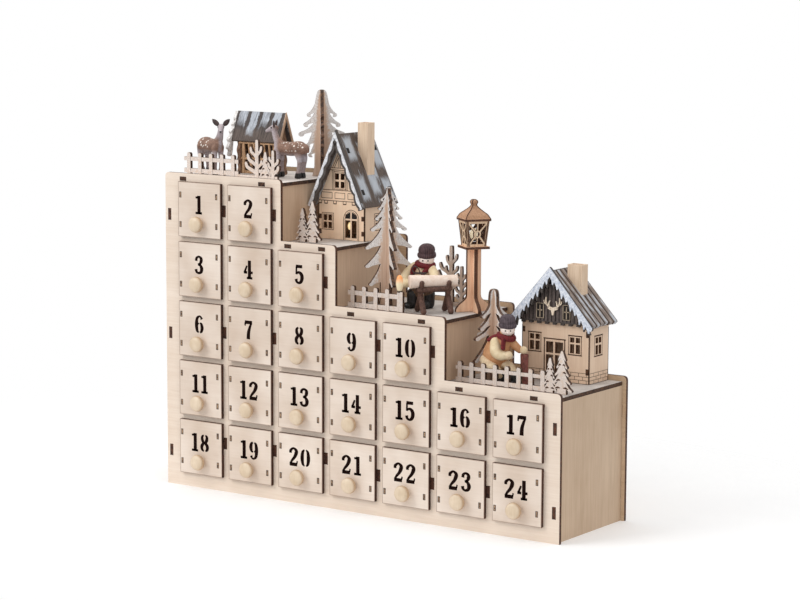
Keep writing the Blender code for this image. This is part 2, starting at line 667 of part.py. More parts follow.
# the eaves just clear the divider beside the house; half width, ridge and eave height
HOUSE_EAVES = STEP_OVERHANGS[0] - PLY / 2 - 2 * GAP
HOUSE_ROOF = (HOUSE_HALF + HOUSE_EAVES - 0.3, 90.5, 29.7)
HOUSE_ROOF_PLY = 2.6
house_walls, house_peak = under_roof(HOUSE_HALF, *HOUSE_ROOF, HOUSE_ROOF_PLY)
house_cuts = lights(((-18.6, -14.8), (-13.8, -10.1)), ((9.3, 14.5), (15.7, 20.7)), HOUSE_Y)
house_cuts += lights(((-6.6, -2.6), (-0.8, 3.2)), ((44.3, 49.5), (51.1, 56.3)), HOUSE_Y)
house_cuts += lights(((4.2, 9.4), (10.8, 16.0)), ((2.0, 17.0), (18.6, 22.0)), HOUSE_Y)
keep("house_walls", on_tread(1, gable(HOUSE_HALF, HOUSE_DEPTH, house_walls, house_peak,
                                      HOUSE_Y, house_cuts), HOUSE_HALF), WALL_PLY)
house_front, house_rear = HOUSE_Y - 9.0, HOUSE_Y + HOUSE_DEPTH + 0.6
keep("house_roof", on_tread(1, fused([
    chevron(*HOUSE_ROOF, house_front, house_rear, HOUSE_ROOF_PLY),
    barge(HOUSE_HALF + HOUSE_EAVES, 94.0, 28.8, 4.0, house_front + 1.4, 6, 1.6),
    box(6.6, 16.8, HOUSE_Y + 14.6, HOUSE_Y + 24.8, 55.0, 99.3)]), HOUSE_HALF), ROOF_STAIN)

# chalet
CHALET_HALF = 32.2
CHALET_DEPTH = 30.6
CHALET_Y = DEPTH - 32.0
CHALET_X = 61.6
CHALET_ROOF = (39.5, 91.7, 49.3)
chalet_walls, chalet_peak = under_roof(CHALET_HALF, *CHALET_ROOF, PLY)
chalet_cuts = lights(((-24.6, -20.6), (-19.2, -15.2), (13.8, 17.8), (19.2, 23.2)),
                     ((24.3, 31.8), (33.2, 37.4)), CHALET_Y)
chalet_cuts += lights(((-9.0, -2.2), (-0.4, 7.2)), ((1.8, 21.4), (23.0, 32.2)), CHALET_Y)
for y0, y1 in ((9.6, 13.4), (14.6, 18.6)):
    for z0, z1 in ((23.4, 31.0), (32.6, 37.4)):
        chalet_cuts.append(box(CHALET_HALF - PLY - 1.0, CHALET_HALF + 1.0,
                               CHALET_Y + y0, CHALET_Y + y1, z0, z1))
keep("chalet_walls", on_tread(3, gable(CHALET_HALF, CHALET_DEPTH, chalet_walls, chalet_peak,
                                       CHALET_Y, chalet_cuts), CHALET_X), WALL_PLY)
chalet_front, chalet_rear = CHALET_Y - 11.0, CHALET_Y + CHALET_DEPTH + 0.2
keep("chalet_roof", on_tread(3, fused([
    chevron(*CHALET_ROOF, chalet_front, chalet_rear, PLY),
    barge(40.6, 95.1, 48.9, 5.0, chalet_front + 1.5, 9, 2.6),
    box(6.4, 20.2, CHALET_Y + 6.8, CHALET_Y + 16.0, 68.0, 96.1)]), CHALET_X), ROOF_STAIN)


# Hay shed: two wavy end boards, back board, hay rack and a roof

SHED_Y = 64.5
wavy_end = [(-7.2, 0.0), (-5.6, 5.0), (-7.4, 10.0), (-6.2, 15.0), (-7.6, 20.0), (-6.0, 25.0),
            (-6.2, 30.0), (0.0, 49.0), (6.2, 30.0), (7.4, 24.0), (6.0, 18.0), (7.4, 12.0),
            (5.8, 6.0), (7.0, 0.0)]
shed_roof = [(-9.9, 28.7), (0.0, 53.9), (9.9, 28.7), (7.7, 28.1), (0.0, 47.1), (-7.7, 28.1)]
rack = box(34.2, 77.2, -1.2, 1.2, -7.0, 7.0)
rack.transform(Matrix.Translation((0.0, 0.0, 20.0)) @ Matrix.Rotation(math.radians(-28), 4, "X"))
keep("hay_shed", on_tread(0, fused([
    sheet(shed_roof, "side", 55.9, 52.6),
    sheet(wavy_end, "side", 35.0),
    sheet(wavy_end, "side", 76.4),
    box(34.0, 77.4, 3.6, 6.0, 9.0, 31.0),
    rack],
    [box(30.0, 80.0, -2.4, 2.4, -1.0, 11.0)]), 0.0, SHED_Y), LANTERN_PLY)


# Lantern on a crossed post

half_foot = [(15.6, 0.0), (15.2, 2.6), (12.4, 6.2), (8.8, 9.0), (6.0, 12.4), (6.0, 53.6)]
# half width and height of the square cap, from its tip down to its eaves
cap = ((0.0, 93.1), (1.9, 92.6), (2.8, 91.0), (2.7, 88.0), (4.0, 85.4), (6.3, 83.2), (9.0, 81.0),
       (10.2, 78.0), (11.2, 78.0), (11.2, 75.8), (0.0, 75.8))
cap_block = turned([(half * math.sqrt(2.0), height) for half, height in cap], 4)
cap_block.transform(Matrix.Rotation(math.pi / 4, 4, "Z"))
tracery = []
for plane in ("front", "side"):
    for hole in ([(-4.6, 58.3), (4.6, 58.3), (0.0, 63.9)],
                 [(-6.6, 72.7), (6.6, 72.7), (0.0, 66.9)],
                 [(-5.2, 60.3), (-1.8, 65.4), (-7.0, 71.3)],
                 [(5.2, 60.3), (7.0, 71.3), (1.8, 65.4)]):
        tracery.append(sheet(hole, plane, 0.0, 30.0))
lantern = fused([
    sheet(mirrored(half_foot), "front", 0.0),
    sheet(mirrored(half_foot), "side", 0.0),
    block(10.4, 52.7, 10.4, 54.9),
    block(7.9, 54.0, 10.0, 76.1),
    cap_block],
    [block(6.3, 55.7, 8.3, 74.9)] + tracery)
keep("lantern", on_tread(2, lantern, 94.8, 64.4, 53.0), LANTERN_PLY)


# Deer

def deer(head_turn):
    """A standing deer on its hooves, chest towards -X, about the middle of its body."""
    shapes = [ball((0.0, 0.0, 25.0), (16.0, 6.4, 7.0), 12, 8),
              ball((-10.5, 0.0, 26.5), (6.6, 5.4, 7.4)),
              ball((11.0, 0.0, 25.5), (7.0, 5.8, 7.4)),
              rod((-12.0, 0.0, 27.0), (-17.0, 0.0, 39.5), 4.6, 2.9),
              rod((15.5, 0.0, 28.0), (19.0, 0.0, 24.0), 1.9, 1.1)]
    head = [ball((-1.0, 0.0, 0.0), (4.6, 3.4, 3.6)),
            rod((-2.0, 0.0, -0.4), (-8.4, 0.0, -2.8), 2.7, 1.6)]
    for side in (-1, 1):
        head.append(rod((0.6, side * 1.8, 2.0), (1.4, side * 5.6, 6.0), 1.9, 0.9, 6))
        for x in (-11.0, 11.0):
            shapes.append(rod((x, side * 3.0, 22.0), (x, side * 3.0, 5.0), 2.9, 1.9, 6))
            shapes.append(rod((x, side * 3.0, 6.6), (x, side * 3.0, 0.0), 2.0, 2.9, 6))
    return fused(shapes + [placed(shape, -17.2, 0.0, 41.0, head_turn) for shape in head])


keep("deer_right", on_tread(0, deer(25.0), 98.5, 48.6), FUR, smooth=True)
keep("deer_left", on_tread(0, deer(62.0), 23.4, 37.0, 150.0), FUR, smooth=True)


# Woodcutter with a bow saw at a sawhorse, drawn about the middle of the log

def sawhorse():
    """A log on two crossed trestles."""
    along = Vector((0.7, 0.714, 0.0))
    across = Vector((0.77, -0.64, 0.0))
    shapes = [rod(along * -20.0 + Vector((0, 0, 26.0)), along * 20.0 + Vector((0, 0, 26.0)),
                  5.0, 5.0, 12),
              rod(along * -14.0 + Vector((0, 0, 18.6)), along * 14.0 + Vector((0, 0, 18.6)), 1.6)]
    for share in (-11.0, 12.0):
        for side in (-1, 1):
            foot = along * share + across * side * 9.6 + Vector((0, 0, -1.0))
            head = along * (share + side * 0.4) - across * side * 6.8 + Vector((0, 0, 31.0))
            shapes.append(rod(foot, head, 1.8))
    return shapes


woodcutter = sawhorse() + [
    ball((-18.8, 16.8, 40.6), (6.2, 6.2, 6.0)),
    ball((-18.0, 17.0, 47.4), (7.8, 7.6, 6.6), 12, 8),
    ball((-21.4, 16.8, 34.4), (8.6, 7.4, 3.6)),
    ball((-21.8, 17.6, 28.0), (10.2, 7.8, 8.6), 12, 8),
    rod((-27.0, 16.2, 24.0), (-31.6, 13.4, 10.0), 5.0, 4.0),
    rod((-18.4, 19.8, 24.0), (-18.6, 22.6, 10.0), 5.0, 4.0),
    rod((-31.8, 13.4, 12.6), (-32.0, 13.2, 0.0), 4.3, 4.4),
    rod((-18.6, 22.6, 12.6), (-18.6, 22.6, 0.0), 4.3, 4.4),
    ball((-33.4, 10.8, 2.4), (5.2, 5.6, 2.8)),
    ball((-18.6, 20.0, 2.4), (5.0, 5.6, 2.8)),
    rod((-28.0, 14.0, 33.0), (-30.0, 6.8, 24.0), 3.4, 2.9),
    rod((-30.0, 6.8, 24.4), (-17.6, -3.2, 27.6), 2.9, 2.3),
    ball((-14.8, -5.4, 28.6), (2.9, 2.9, 2.9)),
    rod((-13.6, 15.0, 31.0), (-5.0, 4.2, 31.6), 3.2, 2.5),
    ball((-4.0, 2.8, 31.6), (2.9, 2.9, 2.9)),
    rod((-15.0, -4.8, 34.4), (-3.6, 3.4, 34.4), 1.0, 1.0, 6),
    rod((-14.9, -5.2, 27.6), (-14.9, -4.8, 34.9), 1.0, 1.0, 6)]
keep("woodcutter", on_tread(2, fused(woodcutter, [box(-50, 50, -50, 50, -20, 0.0)]),
                            73.0, 37.8), CREAM_CLOTH, smooth=True)


# Figure in a coat, seated on a stump, hands over a second stump

seated = [
    ball((0.0, 0.0, 25.0), (11.6, 8.8, 13.6), 12, 8),
    rod((0.6, 0.2, 30.0), (7.0, -0.6, 42.0), 8.0, 5.0, 10),
    ball((8.4, -0.8, 41.0), (7.2, 6.2, 3.6)),
    ball((9.6, -1.0, 45.4), (6.0, 6.0, 5.6)),
    ball((9.8, -0.6, 51.6), (7.2, 7.2, 6.6), 12, 8),
    rod((0.0, 2.6, 16.0), (0.0, 2.6, 0.0), 6.0, 6.4, 10),
    rod((3.0, -2.4, 17.0), (6.0, -3.8, 5.0), 3.6, 3.2),
    rod((12.0, 0.6, 17.4), (16.4, -1.8, 5.0), 3.6, 3.2),
    rod((2.0, 1.2, 17.0), (13.6, 1.2, 17.2), 4.2, 3.6),
    ball((6.4, -4.6, 2.6), (3.4, 4.0, 2.9)),
    ball((16.8, -2.8, 2.6), (3.4, 4.4, 2.9)),
    rod((6.0, -4.6, 36.0), (12.4, -5.6, 27.0), 3.6, 2.8),
    ball((13.4, -5.8, 25.6), (3.5, 3.3, 3.5)),
    rod((6.0, 0.6, 36.0), (20.0, 4.6, 28.0), 3.4, 2.5),
    ball((21.4, 5.2, 27.0), (3.0, 3.0, 3.0)),
    rod((21.6, 5.6, 25.6), (21.6, 5.6, 0.0), 3.3, 3.5)]
keep("seated_figure", on_tread(3, fused(seated, [box(-40, 40, -40, 40, -20, 0.0)]),
                               30.2, 33.4), TAN_CLOTH, smooth=True)
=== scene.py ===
# %% [markdown]
# # An advent calendar of laser-cut plywood
# The calendar is a stepped plywood case with twenty-four drawers and a small snowy village
# on its steps. Flat boards cut by a laser have crisp outlines and scorched brown edges, and
# that contrast of pale faces and dark edges is most of what the eye reads. The packed model
# already holds every board in its true place, so this lesson loads it first and measures
# everything else from its corners.

# %% Load the frame
import math

import bmesh
import bpy
import numpy as np
from mathutils import Matrix, Vector


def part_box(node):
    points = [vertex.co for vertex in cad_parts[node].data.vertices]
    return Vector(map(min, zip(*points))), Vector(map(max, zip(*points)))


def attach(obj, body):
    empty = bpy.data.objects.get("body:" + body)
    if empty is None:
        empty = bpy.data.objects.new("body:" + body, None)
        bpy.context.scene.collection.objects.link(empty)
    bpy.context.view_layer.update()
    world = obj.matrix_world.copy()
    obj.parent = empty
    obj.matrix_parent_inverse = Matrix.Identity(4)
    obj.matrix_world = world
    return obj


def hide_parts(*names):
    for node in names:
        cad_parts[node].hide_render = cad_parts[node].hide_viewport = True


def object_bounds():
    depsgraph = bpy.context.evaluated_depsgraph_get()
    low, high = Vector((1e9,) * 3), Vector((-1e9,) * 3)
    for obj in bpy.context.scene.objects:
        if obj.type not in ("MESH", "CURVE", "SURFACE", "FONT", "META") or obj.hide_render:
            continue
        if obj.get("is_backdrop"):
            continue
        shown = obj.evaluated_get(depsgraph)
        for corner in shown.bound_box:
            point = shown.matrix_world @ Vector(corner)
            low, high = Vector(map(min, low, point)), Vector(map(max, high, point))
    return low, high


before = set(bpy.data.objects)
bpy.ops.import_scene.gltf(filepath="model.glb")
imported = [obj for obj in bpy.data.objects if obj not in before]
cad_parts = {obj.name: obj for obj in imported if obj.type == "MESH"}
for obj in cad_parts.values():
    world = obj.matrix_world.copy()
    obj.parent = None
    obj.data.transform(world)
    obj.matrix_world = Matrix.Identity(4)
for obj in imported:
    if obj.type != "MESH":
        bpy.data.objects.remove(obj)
cad_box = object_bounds()
MM = 0.001
CORNER = np.array(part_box("front_panel")[0])       # left lower front corner of the case
TOP_STEP, STEP_2, STEP_3, LOW_STEP = 271.3, 220.7, 168.8, 116.9      # treads, in millimetres


def at(x, y, z):
    """Metres from millimetres counted from the case's left lower front corner."""
    return CORNER + np.array([x, y, z]) * MM


def node_box(name):
    """Lowest and highest corner of a board, in millimetres from the case's corner."""
    low, high = (np.array(end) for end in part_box(name))
    return (low - CORNER) / MM, (high - CORNER) / MM


# %% [markdown]
# ## The camera
# The picture was taken from the right of the front, a little above, with a long lens, so
# the edges hardly converge. A camera looks down its own minus Z, so its matrix is built
# from three directions: right, up, and backwards. The roll is the small tilt of the shot.

# %% Camera
EYE = at(1416.3, -1682.1, 471.9)
AZIMUTH, DOWN, ROLL = math.radians(-34.785), math.radians(8.03), math.radians(0.215)
FOCAL_PIXELS, PICTURE_WIDTH, SENSOR = 2535.87, 800, 36.0

ahead = np.array([math.sin(AZIMUTH) * math.cos(DOWN), math.cos(AZIMUTH) * math.cos(DOWN),
                  -math.sin(DOWN)])
level = np.array([math.cos(AZIMUTH), -math.sin(AZIMUTH), 0.0])
above = np.cross(level, ahead)
right = math.cos(ROLL) * level + math.sin(ROLL) * above
upward = math.cos(ROLL) * above - math.sin(ROLL) * level

lens = bpy.data.cameras.new("camera")
lens.sensor_fit = "HORIZONTAL"
lens.sensor_width = SENSOR
lens.lens = FOCAL_PIXELS / PICTURE_WIDTH * SENSOR
lens.clip_end = 50.0
camera = bpy.data.objects.new("camera", lens)
camera.matrix_world = Matrix([[right[k], upward[k], -ahead[k], EYE[k]] for k in range(3)]
                             + [[0, 0, 0, 1]])
bpy.context.scene.collection.objects.link(camera)
bpy.context.scene.camera = camera
print("lens", round(lens.lens, 1), "mm")

# %% [markdown]
# ## A small language for materials
# A material is a network of nodes. Written node by node it is long and hard to read, so two
# small classes let the sums look like sums. `Field` is a number that varies over the
# surface; adding or multiplying fields puts a Math node behind the scenes. `Recipe` is one
# material, with a single method that makes any other node.


# %% A field over the surface
class Field:
    """An output of a shader node that can be used in Python sums."""

    def __init__(self, recipe, link):
        self.recipe, self.link = recipe, link

    def maths(self, operation, *others, clamp=False):
        """A Math node whose first input is this field."""
        return self.recipe.node("ShaderNodeMath", {"operation": operation, "use_clamp": clamp},
                                dict(enumerate((self,) + others)))

    def __add__(self, other):
        return self.maths("ADD", other)

    def __sub__(self, other):
        return self.maths("SUBTRACT", other)

    def __rsub__(self, other):
        return (self * -1.0).maths("ADD", other)

    def __mul__(self, other):
        return self.maths("MULTIPLY", other)

    def __truediv__(self, other):
        return self.maths("DIVIDE", other)

    def __gt__(self, other):
        return self.maths("GREATER_THAN", other)

    def __lt__(self, other):
        return self.maths("LESS_THAN", other)

    def __abs__(self):
        return self.maths("ABSOLUTE")

    __radd__ = __add__
    __rmul__ = __mul__

    def ramp(self, low, high):
        """0 below low, 1 above high, a straight line between."""
        return ((self - low) / (high - low)).maths("ADD", 0.0, clamp=True)

    def most(self, other):
        """The larger of two fields."""
        return self.maths("MAXIMUM", other)

    def least(self, other):
        """The smaller of two fields."""
        return self.maths("MINIMUM", other)

    def wrap(self, period):
        """What is left after taking away whole periods."""
        return self.maths("FLOORED_MODULO", period)


print("a field knows", len([name for name in vars(Field) if name != "__init__"]), "sums")

# %% [markdown]
# Colours are written as the eye reads them, from 0 to 255, but a shader counts light, so
# `tint` undoes the screen's curve. A `Recipe` always works in the object's own place, never
# in the camera's view, so that the finish stays put when a piece moves.


# %% A recipe for a material
def tint(red, green, blue):
    """A shader colour from the 8-bit colour that the eye reads."""
    channels = np.array([red, green, blue]) / 255
    linear = np.where(channels <= 0.04045, channels / 12.92, ((channels + 0.055) / 1.055) ** 2.4)
    return (*linear.tolist(), 1.0)


class Recipe:
    """One material under construction, with its coordinates in millimetres."""

    def __init__(self, name):
        """Start an empty material."""
        self.material = bpy.data.materials.new(name)
        self.material.use_nodes = True
        self.tree = self.material.node_tree
        self.tree.nodes.clear()
        metres = self.node("ShaderNodeTexCoord", output="Object")
        self.place = self.node("ShaderNodeVectorMath", {"operation": "SCALE"},
                               {0: metres, "Scale": 1.0 / MM})

    def node(self, kind, settings=None, inputs=None, output=0):
        """Any shader node: its settings first, then the values or links of its sockets."""
        made = self.tree.nodes.new(kind)
        for key, value in (settings or {}).items():
            setattr(made, key, value)
        for key, value in (inputs or {}).items():
            if isinstance(value, Field):
                self.tree.links.new(value.link, made.inputs[key])
            else:
                made.inputs[key].default_value = value
        return Field(self, made.outputs[output]) if len(made.outputs) else made

    def axes(self):
        """The place along X, Y and Z, in millimetres."""
        return [self.node("ShaderNodeSeparateXYZ", None, {0: self.place}, output=k)
                for k in range(3)]

    def facing(self):
        """The surface's own direction along X, Y and Z."""
        normal = self.node("ShaderNodeTexCoord", output="Normal")
        return [self.node("ShaderNodeSeparateXYZ", None, {0: normal}, output=k) for k in range(3)]

    def stretched(self, factors):
        """The place squeezed by a factor along each axis, for patterns with a direction."""
        return self.node("ShaderNodeVectorMath", {"operation": "MULTIPLY"},
                         {0: self.place, 1: factors})

    def noise(self, size, vector=None, detail=2.0, roughness=0.5):
        """Smooth noise from 0 to 1 whose blotches are about size millimetres wide."""
        return self.node("ShaderNodeTexNoise", None,
                         {"Vector": vector or self.place, "Scale": 1.0 / size,
                          "Detail": detail, "Roughness": roughness})

    def mix(self, factor, first, second):
        """first where the factor is 0, second where it is 1."""
        return self.node("ShaderNodeMix", {"data_type": "RGBA"},
                         {0: factor, 6: first, 7: second}, output=2)

    def done(self, colour, roughness=0.6, bump=None, depth=0.1, glow=None, **fixed):
        """Close the recipe: a Principled surface with varying colour, roughness and bump."""
        shader = self.node("ShaderNodeBsdfPrincipled")
        sockets = shader.link.node.inputs
        links = {"Base Color": colour, "Roughness": roughness}
        if bump is not None:
            links["Normal"] = self.node("ShaderNodeBump", None,
                                        {"Height": bump, "Distance": depth * MM, "Strength": 1.0})
        if glow is not None:
            links["Emission Color"] = glow
        for key, value in {**links, **fixed}.items():
            if isinstance(value, Field):
                self.tree.links.new(value.link, sockets[key])
            else:
                sockets[key].default_value = value
        self.node("ShaderNodeOutputMaterial", None, {"Surface": shader})
        return self.material


print("middle grey counts as", round(tint(128, 128, 128)[0], 3))


# %% [markdown]
# ## Plywood
# The real boards are thin birch or basswood ply: a pale face with faint streaks along the
# grain, and edges that the laser charred to dark brown. One recipe serves every board. It
# is told which axis runs through the thickness, and everything that faces another way is a
# cut edge. The streaks are noise squeezed along the grain, so it needs no picture.


# %% Plywood recipe
EDGE_DARK, EDGE_LIGHT = tint(40, 18, 9), tint(94, 54, 31)


def plywood(name, through, along, light, dark):
    """Plywood with its thickness along axis `through` and its grain along axis `along`.
    colour = mix(dark, light, streaks); on cut edges, mix(EDGE_DARK, EDGE_LIGHT, blotches)."""
    wood = Recipe(name)

    def along_the_grain(factor):
        """The place, squeezed along the grain alone."""
        return wood.stretched([factor if k == along else 1.0 for k in range(3)])

    grain = along_the_grain(0.045)
    streaks = wood.noise(1.5, grain, 5.0, 0.65)
    bands = wood.noise(11.0, grain, 2.0)
    clouds = wood.noise(38.0, None, 2.0)
    shade = (streaks * 0.55 + bands * 0.3 + clouds * 0.35).ramp(0.36, 0.86)
    face = wood.mix(shade, tint(*dark), tint(*light))
    pores = wood.noise(0.5, along_the_grain(0.02), 2.0)
    face = wood.mix(pores.ramp(0.64, 0.74) * 0.15, face, tint(*[c * 0.78 for c in dark]))
    cut = abs(wood.facing()[through]) < 0.7
    char = wood.noise(2.6, None, 3.0).ramp(0.3, 0.75)
    edge = wood.mix(char, EDGE_DARK, EDGE_LIGHT)
    colour = wood.mix(cut, face, edge)
    return wood.done(colour, 0.62 + cut * 0.2, streaks * 0.6 + pores * 0.4, 0.05)


RAW_LIGHT, RAW_DARK = (222, 198, 170), (186, 156, 122)
panel_ply = plywood("front panel plywood", 1, 0, (241, 226, 211), (221, 200, 180))
back_ply = plywood("back panel plywood", 1, 0, RAW_LIGHT, RAW_DARK)
side_ply = plywood("side board plywood", 0, 2, (214, 190, 164), (184, 156, 128))
# Painted light: the risers' ply is a slightly paler copy of the side boards' ply, to lift the
# risers that stand in shade.
riser_ply_lit = plywood("riser plywood with painted light", 0, 2, (220, 192, 165), (190, 159, 130))
shelf_ply = plywood("shelf plywood", 2, 0, RAW_LIGHT, RAW_DARK)
print("plywood recipes made")

# %% [markdown]
# ## Boards with paint on them
# The steps are painted a speckled grey-white, and the fences are white with a little bare
# wood showing through. On both, paint lies on the face only, and the laser-cut edge
# stays dark. So each recipe first decides whether a point is face or edge, from the
# direction of the surface, and then which of the two coats it wears.


# %% Painted boards
def tread_paint(name, level):
    """Speckled grey-white on the upper face, plain plywood below, scorched edges. level = how
    pale this tread's paint is made, as painted light for the light on it, 1 for the usual tone."""
    step = Recipe(name)
    # Painted light: level makes this tread's paint paler or darker for the light that falls on it.
    grey, white = (tint(*[c * level for c in tone]) for tone in ((182, 173, 166), (228, 220, 213)))
    up = step.facing()[2]
    speck = step.noise(0.7, None, 3.0, 0.7)
    clouds = step.noise(16.0, None, 4.0, 0.6)
    brushed = step.noise(2.4, step.stretched((0.12, 1.0, 1.0)), 3.0)
    shade = (speck * 0.4 + clouds * 0.35 + brushed * 0.35).ramp(0.34, 0.74)
    paint = step.mix(shade, grey, white)
    bare = step.mix(step.noise(2.0, step.stretched((0.05, 1.0, 1.0)), 4.0),
                    tint(*RAW_DARK), tint(*RAW_LIGHT))
    paint = step.mix((clouds + speck * 0.3).ramp(0.80, 0.88) * 0.5, paint, tint(206, 188, 164))
    edge = step.mix(step.noise(2.6, None, 3.0).ramp(0.3, 0.75), tint(40, 24, 16), tint(92, 61, 41))
    colour = step.mix(up > 0.5, bare, paint)
    cut = abs(up) < 0.6
    relief = speck * 0.7 + brushed * 0.3
    return step.done(step.mix(cut, colour, edge), 0.78 + cut * 0.1, relief, 0.06)


def snow_board(name, cover):
    """White paint on both faces, worn off in dabs; cover = the share that it still hides."""
    snow = Recipe(name)
    dabs = snow.noise(3.2, None, 4.0, 0.65)
    fine = snow.noise(0.8, None, 2.0)
    grain = snow.noise(1.3, snow.stretched((1.0, 1.0, 0.06)), 4.0)
    wood = snow.mix(grain, tint(204, 176, 152), tint(234, 214, 196))
    white = snow.mix(fine.ramp(0.3, 0.7), tint(208, 193, 183), tint(238, 227, 219))
    bare = (dabs + grain * 0.3).ramp(cover * 0.78, cover * 0.92)
    colour = snow.mix(bare * 0.75, white, wood)
    cut = abs(snow.facing()[1]) < 0.7
    edge = snow.mix(snow.noise(2.2, None, 3.0).ramp(0.3, 0.75), tint(38, 22, 14), tint(98, 66, 44))
    return snow.done(snow.mix(cut, colour, edge), 0.8, fine * 0.5 + dabs * 0.5, 0.08)


print("paints ready")

# %% [markdown]
# ## Crossed trees
# Each tree is two equal boards halved into each other, so a vertical face of one board and
# a cut edge of the other can point the same way. Direction alone can't tell them apart, but
# direction and distance from the board's own middle plane together can. The white on the
# branch tips grows with the distance from the trunk, compared with the tree's taper.


# %% Tree recipe
HALF_PLY = 1.5


def tree_board(name, x, y, turn, height, reach, taper):
    """Plywood tree at (x, y), turned by so many degrees; its reach shrinks with height as
    reach * (1 - z / height) ** taper, and paint starts at about half of it. u and v are the
    distances from the trunk along the two boards."""
    tree = Recipe(name)
    px, py, pz = tree.axes()
    nx, ny, _ = tree.facing()
    centre = at(x, y, 0) / MM
    base = node_box(name)[0][2]
    c, s = math.cos(math.radians(turn)), math.sin(math.radians(turn))
    dx, dy = px - centre[0], py - centre[1]
    u = abs(dx * c + dy * s)
    v = abs(dx * -s + dy * c)
    nu = abs(nx * c + ny * s)
    nv = abs(nx * -s + ny * c)
    one = (nv > 0.85) * (abs(v - HALF_PLY) < 0.12)
    two = (nu > 0.85) * (abs(u - HALF_PLY) < 0.12)
    cut = 1.0 - one.most(two)
    out = u.most(v)
    share = (pz - base) / height
    width = (1.0 - share).most(0.02).maths("POWER", taper) * reach
    grain = tree.noise(1.2, tree.stretched((1.0, 1.0, 0.05)), 5.0, 0.6)
    bands = tree.noise(6.0, tree.stretched((1.0, 1.0, 0.08)), 2.0)
    wood = tree.mix((grain * 0.6 + bands * 0.5).ramp(0.35, 0.8),
                    tint(192, 160, 136), tint(230, 206, 186))
    dabs = tree.noise(2.6, None, 4.0, 0.65)
    white = tree.mix(tree.noise(0.9, None, 3.0).ramp(0.3, 0.7),
                     tint(198, 190, 186), tint(244, 241, 238))
    painted = (out / width + (dabs - 0.5) * 0.9 + (grain - 0.5) * 0.35).ramp(0.42, 0.66)
    colour = tree.mix(painted * 0.95, wood, white)
    edge = tree.mix(tree.noise(2.4, None, 3.0).ramp(0.4, 0.8),
                    tint(46, 28, 19), tint(132, 94, 68))
    return tree.done(tree.mix(cut, colour, edge), 0.72, grain * 0.5 + dabs * 0.5, 0.07)


# x, y, turn, height, reach, taper
TREES = {"tree_1": (109.4, 80.0, 38.0, 82.0, 17.0, 0.7),
         "tree_2": (208.0, 40.0, 51.8, 104.0, 24.0, 0.85),
         "tree_3": (307.6, 48.6, -18.0, 80.0, 24.0, 0.75)}
for tree, measures in TREES.items():
    print(tree, "stands", node_box(tree)[0].round(1), node_box(tree)[1].round(1))

# %% [markdown]
# ## House walls
# A house is a box of boards, so a wall's outer and inner faces are plain wood, while
# anything between them, such as the side of a window hole, is scorched. A wall box is
# described by its outer limits, and a point is face only where it faces outwards or inwards
# and lies within a board's thickness of one of the four sides.


# %% Wall recipe
def wall_ply(name, node, light, dark):
    """Plywood walls; the faces are the planes at the box's sides and a board inside them."""
    wall = Recipe(name)
    skin_depth = 3.4
    px, py, pz = wall.axes()
    nx, ny, _ = (abs(part) for part in wall.facing())
    low, high = (np.array(end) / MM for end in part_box(node))
    mx, my = (low[0] + high[0]) / 2, (low[1] + high[1]) / 2
    hx, hy = (high[0] - low[0]) / 2, (high[1] - low[1]) / 2
    side = (nx > 0.7) * (abs(px - mx) > hx - skin_depth)
    front = (ny > 0.7) * (abs(py - my) > hy - skin_depth)
    cut = 1.0 - side.most(front)
    grain = wall.noise(1.1, wall.stretched((1.0, 1.0, 0.05)), 5.0, 0.6)
    bands = wall.noise(8.0, wall.stretched((1.0, 1.0, 0.1)), 2.0)
    clouds = wall.noise(14.0, None, 3.0)
    shade = (grain * 0.5 + bands * 0.35 + clouds * 0.3).ramp(0.36, 0.82)
    face = wall.mix(shade, tint(*dark), tint(*light))
    # Darker towards the foot of the wall, in patches.
    darker_foot = (1.0 - (pz - low[2]).ramp(0.0, 9.0)) * wall.noise(7.0).ramp(0.45, 0.8)
    face = wall.mix(darker_foot * 0.35, face, tint(150, 108, 72))
    edge = wall.mix(wall.noise(2.0), tint(58, 34, 20), tint(122, 80, 50))
    return wall.done(wall.mix(cut, face, edge), 0.66, grain, 0.05)


print("wall recipes ready")

# %% [markdown]
# ## Dress the boards
# Every board that keeps its packed shape now gets its finish, by putting the material in
# its object's slots. The mesh itself is left as it is.


# %% Dress
def dress(material, *names):
    """Put one material on packed boards."""
    for name in names:
        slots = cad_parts[name].data.materials
        for index in range(len(slots)):
            slots[index] = material


dress(panel_ply, "front_panel")
dress(back_ply, "back_panel")
dress(side_ply, "left_side", "right_side")
dress(riser_ply_lit, *[f"divider_{k}" for k in range(1, 7)])
dress(shelf_ply, "shelf_4", "base_board")
# Painted light: each tread's level stands in for the light that falls on that tread.
for tread, level in (("top_board", 1.06), ("shelf_1", 1.0), ("shelf_2", 0.93), ("shelf_3", 0.95)):
    dress(tread_paint(tread + " paint", level), tread)
# Painted light: the house's wall colours are paler than the chalet's, to lift the shade under the
# house's deep eaves.
for walls, light, dark in (("house", (255, 230, 202), (243, 208, 177)),
                           ("chalet", (242, 216, 190), (220, 188, 160))):
    dress(wall_ply(walls + " wall plywood", walls + "_walls", light, dark), walls + "_walls")
print("packed boards dressed")

# %% [markdown]
# ## How new pieces are made
# Everything that the packed model only hints at, such as turned knobs, numbers, snow on the
# eaves or a woolly hat, is a surface worked out with numpy. One idea carries nearly all of
# them: a stack of rings. A ring is a closed line of points, and skinning the rings in order
# gives a closed body. A knob is a circle that grows and shrinks, a board is a rectangle
# moved through its thickness, a number is a narrow ring that follows a pen stroke.


